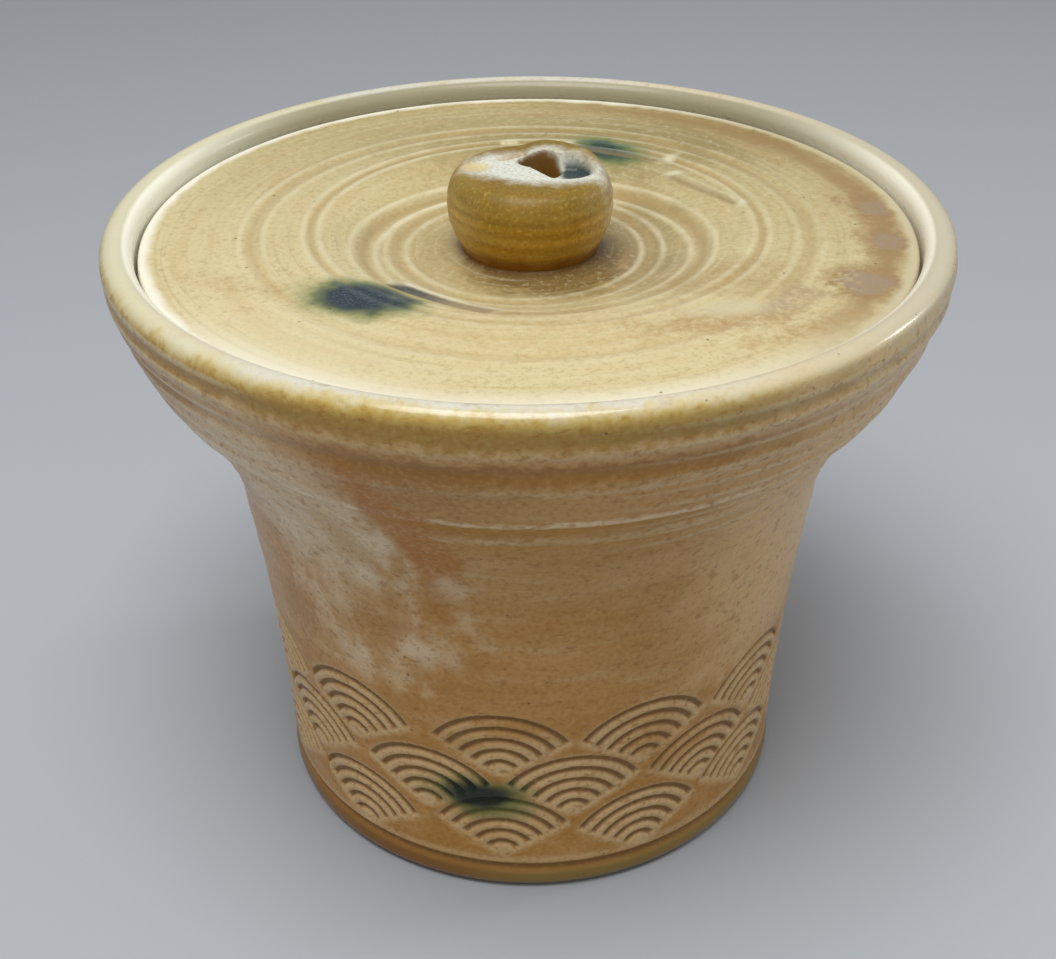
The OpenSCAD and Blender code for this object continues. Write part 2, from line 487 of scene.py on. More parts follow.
@dataclass(frozen=True)
class Extent:
    """The room that a CAD node takes, in millimetres."""

    middle: Point
    radius: float
    bottom: float
    top: float

    @classmethod
    def of(cls, node: str) -> "Extent":
        """Measures a round node in the frame.

        Args:
            node: The node's name.

        Returns:
            Its middle in plan, its radius, and its lowest and highest place.
        """
        low, high = (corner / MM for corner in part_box(node))
        return cls(((low.x + high.x) / 2, (low.y + high.y) / 2), (high.x - low.x) / 2, low.z, high.z)


@dataclass
class Pottery(ABC):
    """One fired piece: its mesh, its glaze and the solid that it stands for."""

    name: str
    node: str
    body: Body
    slot: str
    extent: Extent = field(init=False)

    def __post_init__(self) -> None:
        """Takes the piece's main sizes from the frame."""
        self.extent = Extent.of(self.node)

    @abstractmethod
    def throw(self) -> Wheel:
        """Makes the plain turned form."""

    @abstractmethod
    def shape(self, spots: np.ndarray) -> np.ndarray:
        """Moves the vertices of the turned form by the hand's marks."""

    @abstractmethod
    def glaze(self, bench: Bench) -> None:
        """Fills the material's tree."""

    def make(self) -> bpy.types.Object:
        """Builds the piece, dresses it and seats it on its body.

        Returns:
            The finished object.
        """
        wheel = self.throw()
        wheel.close()
        mesh = bpy.data.meshes.new(self.name)
        wheel.bm.to_mesh(mesh)
        wheel.bm.free()
        spots = np.empty(len(mesh.vertices) * 3)
        mesh.vertices.foreach_get("co", spots)
        mesh.vertices.foreach_set("co", (self.shape(spots.reshape(-1, 3)) * MM).ravel())
        mesh.polygons.foreach_set("use_smooth", [True] * len(mesh.polygons))
        mesh.update()
        material = bpy.data.materials.new(self.slot)
        material.use_nodes = True
        self.glaze(Bench(material.node_tree))
        mesh.materials.append(material)
        piece = bpy.data.objects.new(self.name, mesh)
        bpy.context.scene.collection.objects.link(piece)
        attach(piece, self.body.value)
        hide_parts(self.node)
        return piece


@dataclass(frozen=True)
class Blot:
    """An oval place on a surface, in millimetres across and up it."""

    across: float
    up: float
    half_across: float
    half_up: float
    turn: float = 0.0

    def beyond(self, maths: Maths, across: Amount, up: Amount) -> Amount:
        """How far a point lies outside the oval.

        Args:
            maths: What does the arithmetic.
            across: The point's place across the surface.
            up: The point's place up the surface.

        Returns:
            Millimetres outside the edge, negative inside.
        """
        cos, sin = math.cos(math.radians(self.turn)), math.sin(math.radians(self.turn))
        side, rise = across - self.across, up - self.up
        turned_side = (side * cos + rise * sin) / self.half_across
        turned_rise = (rise * cos - side * sin) / self.half_up
        return (maths.reach(turned_side, turned_rise) - 1.0) * min(self.half_across, self.half_up)


@dataclass(frozen=True)
class Patch:
    """A place where the fire or a thicker glaze changed the colour."""

    blot: Blot
    colour: Colour
    strength: float
    blur: float
    ragged: float
    broken: float = 0.0
    break_blur: float = 0.2

    def mask(self, bench: Bench, across: Value, up: Value, ruffle: Value) -> Value:
        """How much of the patch shows.

        Args:
            bench: Where the nodes go.
            across: Place across the surface.
            up: Place up the surface.
            ruffle: Cloud value that breaks the edge.

        Returns:
            A share from 0 to the patch's strength.
        """
        edge = self.blot.beyond(bench, across, up) + bench.stray(ruffle, 2.0 * self.ragged)
        shown = bench.soft(self.broken - self.break_blur, self.broken, ruffle) * self.strength
        return bench.inside(0.0, self.blur, edge) * shown


@dataclass(frozen=True)
class Splash:
    """A drop of copper glaze that spread in the firing: a dark core in a green fringe."""

    blot: Blot
    core: Colour
    fringe: Colour
    spread: float
    frost: float
    crystal: Colour = (0.10, 0.14, 0.16)
    crystal_size: float = 0.6
    ragged: float = 2.2
    fringe_share: float = 0.85
    core_share: float = 0.95

    def lay(self, bench: Bench, colour: Value, across: Value, up: Value, ruffle: Value) -> Value:
        """Lays the splash over a colour.

        Args:
            bench: Where the nodes go.
            colour: The colour below.
            across: Place across the surface.
            up: Place up the surface.
            ruffle: Cloud value that breaks the edge.

        Returns:
            The colour with the splash on it.
        """
        spread = self.spread
        edge = self.blot.beyond(bench, across, up) + bench.stray(ruffle, self.ragged * spread)
        crystals = bench.soft(0.5, 0.66, bench.noise(self.crystal_size, 2.0))
        return bench.laid(
            colour,
            (bench.inside(spread * 0.3, spread, edge) * self.fringe_share, self.fringe),
            (bench.inside(-spread * 0.5, spread * 0.7, edge) * self.core_share, self.core),
            (crystals * bench.inside(-spread, spread, edge) * self.frost, self.crystal),
        )


@dataclass(frozen=True)
class WaveBand:
    """Rows of stamped fans, each of concentric lines, as in the overlapping-wave pattern."""

    rows: int = 3
    fans: int = 12
    lines: int = 5
    outer_r: float = 18.1
    line_step: float = 3.5
    half_spread: float = 57.0
    row_rise: float = 13.8
    first_z: float = 10.4
    turn: float = -6.3
    line_w: float = 1.4
    line_blur: float = 0.38
    end_blur: float = 0.5
    depth: float = 0.9
    land_rim: float = 1.3
    land_rim_blur: float = 1.0
    land_side: float = 1.2
    land_side_blur: float = 1.4
    wall_r: float = 66.0
    drift: float = 3.0
    drift_at: float = -42.0
    drift_half_width: float = 34.0
    bob: float = 1.2
    bob_phase: float = 90.0
    bob_per_fan: float = 180.0
    bob_per_row: float = 41.0

    def row(self, maths: Maths, number: int, theta: Amount, z: Amount) -> tuple[Amount, Amount]:
        """One row of fans.

        Args:
            maths: What does the arithmetic.
            number: The row, 0 at the bottom.
            theta: Angle round the jar.
            z: Height on the jar.

        Returns:
            How much of a pressed line there is, and how much of a fan.
        """
        pitch, offset = 360.0 / self.fans, 0.5 * (number % 2)
        cells = (theta - self.turn) / pitch - offset
        cell = maths.floor(cells + 0.5)
        home = cell - maths.floor(cell / self.fans) * self.fans
        angle = (cell + offset) * pitch + self.turn
        stray = maths.hump(self.drift_half_width, angle - self.drift_at) * -self.drift
        beat = home * (self.bob_per_fan + self.bob_per_row * number) + self.bob_phase
        bob = maths.sine(beat) * (self.bob / (1.0 + number))
        across = ((cells - cell) * pitch - stray) * (DEGREE * self.wall_r)
        up = z - (self.first_z + number * self.row_rise) - bob
        reach = maths.reach(across, up)
        nearest = maths.floor((self.outer_r - reach) / self.line_step + 0.5)
        nearest = maths.least(maths.most(nearest, 0.0), self.lines - 1.0)
        off_line = maths.size(reach + nearest * self.line_step - self.outer_r)
        past_end = (maths.size(maths.bearing(across, up)) - self.half_spread) * DEGREE * reach
        line = maths.inside(self.line_w / 2, self.line_blur, off_line)
        land = maths.inside(self.outer_r + self.land_rim, self.land_rim_blur, reach)
        open_line = maths.inside(0.0, self.end_blur, past_end)
        open_land = maths.inside(self.land_side, self.land_side_blur, past_end)
        return line * open_line, land * open_land

    def marks(self, maths: Maths, theta: Amount, z: Amount) -> tuple[Amount, Amount]:
        """All rows of fans.

        Args:
            maths: What does the arithmetic.
            theta: Angle round the jar.
            z: Height on the jar.

        Returns:
            How much of a pressed line there is, and how much of a fan.
        """
        line, land = self.row(maths, 0, theta, z)
        for number in range(1, self.rows):
            next_line, next_land = self.row(maths, number, theta, z)
            line, land = maths.most(line, next_line), maths.most(land, next_land)
        return line, land


@dataclass(frozen=True)
class ThrowLine:
    """A line that a finger left on the turning wall: raised if lift is above 0."""

    z: float
    half_width: float
    lift: float


@dataclass(frozen=True)
class JarFinish:
    """Colours of the ash-yellow glaze on the jar, thin to pooled, with painted light and shade on the gallery
    wall and the crest.
    """

    cream: Colour = (0.63, 0.61, 0.52)
    cream_left: Colour = (0.63, 0.59, 0.39)
    # painted shade: the crest's colour on its right side
    cream_right_painted_shade: Colour = (0.54, 0.49, 0.35)
    straw: Colour = (0.60, 0.52, 0.29)
    gold: Colour = (0.50, 0.36, 0.10)
    pale: Colour = (0.63, 0.43, 0.21)
    ridge: Colour = (0.86, 0.67, 0.43)
    pink: Colour = (0.555, 0.30, 0.095)
    tan: Colour = (0.51, 0.265, 0.068)
    amber: Colour = (0.435, 0.205, 0.03)
    brown: Colour = (0.33, 0.14, 0.02)
    flush: Colour = (0.45, 0.17, 0.015)
    olive: Colour = (0.40, 0.24, 0.05)
    moss: Colour = (0.13, 0.155, 0.035)
    sand: Colour = (0.75, 0.50, 0.215)
    mist: Colour = (0.66, 0.54, 0.31)
    milk: Colour = (0.80, 0.64, 0.41)
    drip: Colour = (0.82, 0.68, 0.47)
    land: Colour = (0.66, 0.46, 0.225)
    foot: Colour = (0.215, 0.142, 0.026)
    foot_dark: Colour = (0.225, 0.088, 0.009)
    pressed: Colour = (0.235, 0.108, 0.026)
    iron: Colour = (0.07, 0.035, 0.012)
    clay: Colour = (0.46, 0.33, 0.22)
    # painted light and shade: the gallery wall brightened at the left and right, darkened at the back
    gallery: Colour = (0.88, 0.86, 0.73)
    gallery_back_painted_shade: Colour = (0.34, 0.31, 0.20)
    gallery_right_painted_light: Colour = (0.84, 0.80, 0.66)
    inner: Colour = (0.66, 0.56, 0.36)
    splash_core: Colour = (0.006, 0.009, 0.006)
    splash_fringe: Colour = (0.10, 0.125, 0.025)
    roughness: float = 0.24
    coat: float = 0.12


@dataclass
class Jar(Pottery):
    """The jar itself, thrown in one with its foot, its flaring collar and the ledge for the lid."""

    finish: JarFinish = JarFinish()
    waves: WaveBand = WaveBand()
    band_steps: int = 100
    wall_steps: int = 19
    band_rows: int = 88
    band_low: Point = (64.9, 11.5)
    band_high: Point = (67.35, 57.5)
    band_handles: Handles = ((64.9, 27.0), (66.4, 44.0))
    join_gap: float = 0.6
    join_slack: float = 0.1
    wall_step_out: float = 0.04
    foot_step_out: float = 0.06
    neck: Point = (70.8, 89.5)
    neck_handles: Handles = ((68.2, 69.0), (69.9, 80.5))
    collar: Point = (87.4, 123.5)
    collar_handles: Handles = ((72.3, 101.5), (79.5, 115.5))
    rim_handles: Handles = ((90.4, 131.0), (94.9, 139.5))
    lip_round: float = 3.4
    gallery_r: float = 87.9
    ledge_r: float = 79.2
    ledge_z: float = 139.6
    ledge_round: float = 1.6
    inner_handles: Handles = ((79.2, 124.0), (64.5, 104.0))
    neck_inner_r: float = 62.8
    floor_inner_r: float = 56.9
    floor_z: float = 10.0
    floor_round: float = 12.0
    foot_r: float = 64.8
    foot_round: float = 3.0
    foot_ring_w: float = 10.0
    foot_recess: float = 3.0
    foot_line_z: float = 6.9
    foot_line_stray: float = 0.4
    foot_line_half_w: float = 2.0
    foot_line_depth: float = 1.1
    foot_roll_z: float = 3.0
    foot_roll_half_w: float = 3.6
    foot_roll: float = 0.3
    mid_wall_r: float = 61.0
    mid_wall_slope: float = 0.045
    flare_z: Point = (88.0, 140.0)
    flare_out: float = 22.0
    ripple_z: Point = (98.0, 110.0)
    ripple_per_mm: float = 84.0
    ripple_sway: float = 60.0
    ripple_lift: float = 0.3
    oval_depth: float = 0.15
    oval_phase: float = 30.0
    relief_top: float = 148.5
    relief_top_blur: float = 2.0
    line_sway: float = 0.6
    line_sway_per_mm: float = 7.0
    throw_lines: tuple[ThrowLine, ...] = (
        ThrowLine(113.5, 1.9, 0.35), ThrowLine(117.3, 2.4, -0.3), ThrowLine(121.2, 1.8, 0.6),
        ThrowLine(132.0, 1.8, 0.25), ThrowLine(137.0, 2.6, -0.45), ThrowLine(141.4, 2.0, 0.3),
        ThrowLine(104.0, 2.5, 0.15), ThrowLine(96.0, 3.0, 0.12), ThrowLine(84.0, 3.5, 0.12),
        ThrowLine(73.0, 3.5, 0.12),
    )

    def throw(self) -> Wheel:
        """Turns the wave band finely, and the rest of the jar in coarser pieces.

        Returns:
            The wheel with the closed jar on it.
        """
        rim_r, crest, lip = self.extent.radius, self.extent.top, self.lip_round
        gallery_r, ledge_r, ledge_z, ease = self.gallery_r, self.ledge_r, self.ledge_z, self.ledge_round
        floor_r, floor_z, gap = self.floor_inner_r, self.floor_z, self.join_gap
        low, high = self.band_low[1], self.band_high[1]
        band = Outline(self.band_low).curve(*self.band_handles, self.band_high, self.band_rows)
        wall = Outline((self.band_high[0] + self.wall_step_out, high + gap))
        wall.curve(*self.neck_handles, self.neck, steps=18)
        wall.curve(*self.collar_handles, self.collar, steps=32)
        wall.curve(*self.rim_handles, (rim_r, crest - lip), steps=24)
        wall.round((rim_r, crest), (rim_r - lip, crest), steps=7)
        wall.round((gallery_r, crest), (gallery_r, crest - lip), steps=7)
        wall.line((gallery_r, ledge_z + ease), steps=3)
        wall.round((gallery_r, ledge_z), (gallery_r - ease, ledge_z), steps=3)
        wall.line((ledge_r + ease, ledge_z), steps=2)
        wall.round((ledge_r, ledge_z), (ledge_r, ledge_z - ease), steps=3)
        wall.curve(*self.inner_handles, (self.neck_inner_r, self.neck[1]), steps=12)
        wall.line((floor_r, floor_z + self.floor_round), steps=8)
        wall.round((floor_r, floor_z), (floor_r - self.floor_round, floor_z), steps=5)
        wall.line((0.0, floor_z), steps=5)
        foot = Outline((self.foot_r + self.foot_step_out, low - gap))
        foot.line((self.foot_r, self.foot_round), steps=22)
        foot.round((self.foot_r, 0.0), (self.foot_r - self.foot_round, 0.0), steps=5)
        ring_r = self.foot_r - self.foot_round - self.foot_ring_w
        foot.line((ring_r, 0.0), steps=3).line((ring_r - self.foot_recess, self.foot_recess), steps=2)
        foot.line((0.0, self.foot_recess), steps=4)
        wheel = Wheel()
        wheel.turn(band, self.band_steps)
        wheel.turn(wall, self.wall_steps)
        wheel.turn(foot, self.wall_steps)
        wheel.join(high - self.join_slack, high + gap + self.join_slack)
        wheel.join(low - gap - self.join_slack, low + self.join_slack)
        return wheel

    def outside(self, maths: Maths, r: Amount, z: Amount) -> Amount:
        """1 on the jar's outer face and 0 within its wall."""
        mid_wall = z * self.mid_wall_slope + maths.soft(*self.flare_z, z) * self.flare_out + self.mid_wall_r
        return maths.soft(-0.5, 0.5, r - mid_wall)

    def foot_line(self, maths: Maths, theta: Amount, z: Amount) -> Amount:
        """1 in the line that was cut round the foot by hand."""
        height = z + maths.sine(theta) * self.foot_line_stray
        return maths.hump(self.foot_line_half_w, height - self.foot_line_z)

    def ripple(self, maths: Maths, theta: Amount, z: Amount) -> Amount:
        """Ridges that the fingers left on both sides of the collar.

        Args:
            maths: What does the arithmetic.
            theta: Angle round the jar.
            z: Height on the jar.

        Returns:
            A height between -1 and 1.
        """
        turn = maths.sine(theta)
        sides = maths.soft(-0.2, 0.9, turn) + maths.soft(0.4, 0.75, -1.0 * turn)
        ridges = maths.sine(z * self.ripple_per_mm + turn * self.ripple_sway)
        return ridges * sides * maths.soft(*self.ripple_z, z)

    def shape(self, spots: np.ndarray) -> np.ndarray:
        """Presses the waves, the throwing lines and the foot line into the wall.

        Args:
            spots: Vertex places, one row each.

        Returns:
            The moved places.
        """
        maths = Plain()
        x, y, z = spots.T
        r, theta = maths.reach(x, y), maths.bearing(x, -y)
        push = -self.waves.depth * self.waves.marks(maths, theta, z)[0]
        push = push - self.foot_line_depth * self.foot_line(maths, theta, z)
        push = push + self.foot_roll * maths.hump(self.foot_roll_half_w, z - self.foot_roll_z)
        for line in self.throw_lines:
            sway = maths.sine(theta + line.z * self.line_sway_per_mm) * self.line_sway
            push = push + line.lift * maths.hump(line.half_width, z - line.z + sway)
        oval = 1.0 + maths.sine(theta * 2.0 + self.oval_phase)
        push = push + self.ripple(maths, theta, z) * self.ripple_lift - self.oval_depth * oval
        push = push * self.outside(maths, r, z) * maths.inside(self.relief_top, self.relief_top_blur, z)
        scale = 1.0 + np.minimum(push, self.extent.radius - r) / np.maximum(r, 1.0)
        return np.stack([x * scale, y * scale, z], axis=1)

    def zones(self) -> list[tuple[float, Colour]]:
        """Bands of colour up the collar, from the neck to the crest.

        Returns:
            Heights in millimetres with their colours.
        """
        f = self.finish
        return [(100.0, f.tan), (112.0, f.tan), (113.5, f.pale), (115.0, f.amber), (119.6, f.amber),
                (121.2, f.ridge), (123.0, f.pink), (131.0, f.pink), (132.0, f.pale), (133.2, f.pink),
                (135.0, f.amber), (138.6, f.brown), (140.0, f.pink), (142.0, f.pale), (144.2, f.olive),
                (147.6, f.olive), (149.6, f.gold), (151.2, f.straw), (152.6, f.cream), (153.5, f.cream)]

    def patches(self) -> list[Patch]:
        """Places where the fire marked the wall, by arc from the front and height.

        Returns:
            The patches, in the order that they lie on each other.
        """
        f = self.finish
        return [
            Patch(Blot(-46.0, 114.0, 19.0, 26.0), f.milk, 0.75, 7.0, 6.0),
            Patch(Blot(-40.0, 82.0, 16.0, 24.0, 15.0), f.milk, 0.15, 7.0, 8.0),
            Patch(Blot(-37.0, 105.0, 4.0, 7.0, 15.0), f.tan, 0.6, 2.5, 4.0),
            Patch(Blot(-37.0, 79.0, 8.0, 5.0, -15.0), f.amber, 0.75, 2.5, 5.0),
            Patch(Blot(-58.0, 69.0, 7.0, 9.0), f.amber, 0.8, 3.0, 6.0),
            Patch(Blot(-16.0, 131.0, 13.0, 8.0), f.brown, 0.55, 5.0, 6.0),
            Patch(Blot(-19.5, 113.0, 21.0, 5.5, -77.0), f.flush, 0.9, 1.4, 4.5),
            Patch(Blot(67.0, 106.0, 32.0, 58.0), f.sand, 0.85, 14.0, 14.0),
            Patch(Blot(76.0, 147.0, 38.0, 8.0), f.mist, 0.65, 6.0, 8.0),
            Patch(Blot(146.0, 95.0, 36.0, 25.0), f.milk, 0.6, 8.0, 12.0, 0.55),
            Patch(Blot(-150.0, 75.0, 30.0, 14.0), f.amber, 0.6, 6.0, 12.0),
        ]

    def drips(self) -> list[Patch]:
        """White drips of thick glaze among those patches.

        Returns:
            The drips, each a small soft blot.
        """
        places = ((-27.8, 106.0), (-32.6, 93.0), (-42.7, 82.0), (-42.0, 66.5), (-24.4, 75.0), (-15.0, 95.0))
        return [Patch(Blot(*place, 2.4, 3.4, 20.0), self.finish.drip, 0.55, 3.0, 4.5) for place in places]

    def smeared(self, bench: Bench, colour: Value, arc: Value, z: Value) -> Value:
        """Lays the cloudy smears over the left of the wall, where thick and thin glaze ran together.

        Args:
            bench: Where the nodes go.
            colour: The colour below.
            arc: Place round the wall.
            z: Height on the wall.

        Returns:
            The colour with the smears on it.
        """
        smear = bench.noise(7.0, 3.0, (1.3, 1.3, 0.9))
        left = bench.inside(0.0, 9.0, Blot(-36.0, 92.0, 24.0, 38.0, 14.0).beyond(bench, arc, z))
        return bench.laid(
            colour,
            (left * bench.soft(0.46, 0.7, smear) * 0.45, self.finish.drip),
            (left * bench.soft(0.48, 0.68, 1.0 - smear) * 0.8, self.finish.amber),
        )

    def banded(self, bench: Bench, height: Value) -> Value:
        """The bands of colour up the collar.

        Args:
            bench: Where the nodes go.
            height: Height on the collar, as far as the glaze follows it.

        Returns:
            The colour at that height.
        """
        zones = self.zones()
        low, high = zones[0][0], zones[-1][0]
        stops = [((level - low) / (high - low), tint) for level, tint in zones]
        return bench.ramp((height - low) / (high - low), stops)

    def hidden(self, bench: Bench) -> Value:
        """The glaze inside the rim and the jar, with painted light and shade on the gallery wall, and the
        bare clay under the foot.

        Args:
            bench: Where the nodes go.

        Returns:
            Its colour.
        """
        b, f = bench, self.finish
        # painted light on the gallery wall, turning to painted shade at the back
        gallery = b.mix(b.soft(0.0, 75.0, b.x), f.gallery, f.gallery_right_painted_light)
        gallery = b.mix(b.soft(10.0, 75.0, b.y), gallery, f.gallery_back_painted_shade)
        inside = b.mix(b.soft(self.ledge_z - 3.0, self.ledge_z, b.z), f.inner, gallery)
        return b.mix(b.inside(self.foot_recess + 1.0, 0.5, b.z), inside, f.clay)

    def glaze(self, bench: Bench) -> None:
        """Mixes the jar's ash-yellow glaze.

        Args:
            bench: Where the nodes go.
        """
        b, f = bench, self.finish
        r, theta, z = b.reach(b.x, b.y), b.bearing(b.x, -b.y), b.z
        arc = theta * (DEGREE * self.waves.wall_r)
        cloud = b.noise(34.0, 3.0, (1.0, 1.0, 1.5))
        streak = b.noise(11.0, 3.0, (0.35, 0.35, 2.6))
        ruffle = b.noise(9.0, 4.0)
        mottle = b.noise(2.4, 3.0)
        grain = b.noise(1.1, 3.0)
        freckles = b.soft(0.57, 0.7, b.noise(2.4, 3.0, (1.0, 1.0, 1.5)))
        line, land = self.waves.marks(b, theta, z)
        foot = b.inside(self.foot_line_z - 1.0, 1.2, z)
        outside = self.outside(b, r, z)
        over_lip = b.soft(145.0, 149.0, z)
        height = z + over_lip * (self.extent.radius - r) * 0.5
        height = height + b.stray(ruffle, over_lip * 2.0 + 3.0) + b.stray(mottle, 4.5)
        crest = b.soft(147.0, 152.0, height)
        sandy = 1.0 - b.most(crest * 0.7, foot)

        shown = b.most(b.soft(0.1, 0.5, cloud) * 0.9, b.soft(142.0, 145.0, z))
        colour = b.laid(
            b.mix(b.soft(0.35, 0.66, cloud), f.tan, f.pink),
            (b.soft(0.48, 0.68, streak) * 0.55, f.amber),
            (b.soft(0.55, 0.75, 1.0 - streak) * 0.5, f.pale),
            (b.soft(102.0, 110.0, z) * shown, self.banded(b, height)),
            (b.soft(0.1, 0.9, self.ripple(b, theta, z)) * 0.75, f.mist),
        )
        colour = self.smeared(b, colour, arc, z)
        grainy = b.soft(0.3, 0.62, grain) * 0.45 + 0.6
        for patch in self.patches() + self.drips():
            colour = b.mix(patch.mask(b, arc, z, ruffle) * grainy, colour, patch.colour)
        halo = Patch(Blot(-9.5, 28.5, 10.5, 5.8), f.moss, 0.7, 2.0, 3.0)
        colour = b.laid(
            colour,
            (b.soft(0.52, 0.7, mottle) * outside * 0.25, f.amber),
            (b.inside(56.0, 5.0, z) * b.soft(0.25, 0.6, ruffle) * 0.85, f.amber),
            (land * b.soft(0.2, 0.5, cloud) * 0.85, f.land),
            (line * 0.9, f.pressed),
            # painted highlight: a pale line just above the foot line
            (b.hump(2.2, z - self.foot_line_z - 2.6) * 0.6, f.land),
            (foot * 0.85, f.foot),
            (foot * b.soft(5.0, -38.0, b.x + b.stray(cloud, 50.0)) * 0.9, f.foot_dark),
            (self.foot_line(b, theta, z) * 0.85, f.pressed),
            (freckles * sandy * 0.5, f.brown),
            (b.soft(0.48, 0.72, grain) * sandy * 0.42, f.brown),
            (b.soft(0.52, 0.75, 1.0 - grain) * sandy * 0.22, f.land),
            # painted shade: the crest turns darker towards the right
            (crest * b.soft(20.0, 85.0, b.x), f.cream_right_painted_shade),
            (crest * b.soft(-30.0, -85.0, b.x) * 0.8, f.cream_left),
            (halo.mask(b, arc, z, ruffle), halo.colour),
        )
        splash = Splash(Blot(-13.2, 30.9, 10.2, 4.6), f.splash_core, f.splash_fringe, 2.0, 0.05)
        colour = splash.lay(b, colour, arc, z, ruffle - line * 0.25)
        colour = b.mix(b.specks(4.5, 0.42, 0.35) * 0.65, colour, f.iron)
        colour = b.mix(outside, self.hidden(b), colour)

        roughness = cloud * 0.16 + line * 0.15 - crest * 0.08 + f.roughness
        relief = sandy * (grain * 0.09 - freckles * 0.06) + streak * 0.1
        b.fired(colour, roughness, relief, outside * (crest * 0.3 + foot * 0.3 + f.coat))


@dataclass(frozen=True)
class Ring:
    """A finger ring on the lid, a little off centre: a trough between two raised edges."""

    radius: float
    shift: Point
    weight: float
    half_width: float


@dataclass(frozen=True)
class Gouge:
    """A slanting cut made with a tool across the turning lid, dark along one side, with a painted highlight
    along the other side and at its ends.
    """

    angle: float
    distance: float
    skew: float
    length: float
    width: float
    weight: float = 1.0

    def local(self, x: Amount, y: Amount) -> tuple[Amount, Amount]:
        """Measures a point against the cut.

        Args:
            x: Place to the right.
            y: Place to the back.

        Returns:
            Its place along the cut, and from the middle line towards the side with the painted highlight.
        """
        middle, lie = math.radians(self.angle), math.radians(self.angle + self.skew)
        side, back = x - self.distance * math.cos(middle), y - self.distance * math.sin(middle)
        return side * math.sin(lie) - back * math.cos(lie), side * math.cos(lie) + back * math.sin(lie)


@dataclass(frozen=True)
class LidMarks:
    """The rings and cuts on the lid, in its own plan: x to the right, y to the back."""

    rings: tuple[Ring, ...] = (
        Ring(29.3, (-1.0, -1.5), 0.7, 2.4), Ring(38.2, (1.0, -5.0), 1.0, 2.8),
        Ring(51.3, (1.8, 1.5), 0.8, 1.8), Ring(63.0, (0.5, -1.2), 0.6, 2.7),
    )
    gouges: tuple[Gouge, ...] = (
        Gouge(241.7, 38.0, 171.2, 27.0, 5.8), Gouge(26.6, 46.9, 9.7, 24.0, 2.6, 0.35),
        Gouge(64.0, 50.0, 0.0, 28.0, 2.6, 0.3),
    )
    ridge_half_w: float = 1.3
    trough_share: float = 0.85
    trough_depth: float = 0.4
    ridge_lift: float = 0.26
    gouge_depth: float = 0.35
    gouge_end_blur: float = 1.4
    gouge_side_blur: float = 0.8
    dark_half_w: float = 1.7
    dark_in: float = 0.8
    # painted highlight along the far edge of each cut and at its ends
    edge_highlight_half_w: float = 0.9
    edge_highlight_out: float = 0.7
    end_highlight_half_l: float = 2.0
    end_highlight_out: float = 0.6
    end_highlight_slant: float = 0.4
    front_wear: float = 0.5
    wear_y: Point = (-12.0, -42.0)

    def turned(self, maths: Maths, x: Amount, y: Amount) -> tuple[Amount, Amount]:
        """The finger rings.

        Args:
            maths: What does the arithmetic.
            x: Place to the right.
            y: Place to the back.

        Returns:
            How much trough and how much raised edge there is.
        """
        trough, ridge = 0.0, 0.0
        for ring in self.rings:
            off = maths.reach(x - ring.shift[0], y - ring.shift[1]) - ring.radius
            trough = maths.hump(ring.half_width * self.trough_share, off) * ring.weight + trough
            ridge = maths.hump(self.ridge_half_w, maths.size(off) - ring.half_width) * ring.weight + ridge
        worn = 1.0 - self.front_wear * maths.soft(*self.wear_y, y)
        return trough * worn, ridge * worn

    def cut(self, maths: Maths, x: Amount, y: Amount) -> tuple[Amount, Amount, Amount]:
        """The gouged cuts.

        Args:
            maths: What does the arithmetic.
            x: Place to the right.
            y: Place to the back.

        Returns:
            Depth of the cut, its dark line and its painted highlight along the far edge and the ends, each
            from 0 to 1.
        """
        bed, dark, lip = 0.0, 0.0, 0.0
        for gouge in self.gouges:
            along, outward = gouge.local(x, y)
            half_l, half_w = gouge.length / 2, gouge.width / 2
            run = maths.inside(half_l, self.gouge_end_blur, maths.size(along))
            floor = maths.inside(half_w, self.gouge_side_blur, maths.size(outward)) * run
            bed = floor * gouge.weight + bed
            shade = maths.hump(self.dark_half_w, outward + half_w - self.dark_in)
            dark = shade * run * (1.0 - gouge.weight) + dark
            # painted highlight along the far edge of the cut
            rim = maths.hump(self.edge_highlight_half_w, outward - half_w - self.edge_highlight_out) * run * gouge.weight
            # painted highlight at the ends of the cut
            beyond_end = maths.size(along) - half_l - self.end_highlight_out + outward * self.end_highlight_slant
            end = maths.hump(self.end_highlight_half_l, beyond_end)
            end_highlight = maths.inside(half_w + 0.4, 1.8, maths.size(outward - 1.2)) * (1.2 - gouge.weight * 0.8)
            lip = rim + end * end_highlight + lip
        return bed, dark, lip


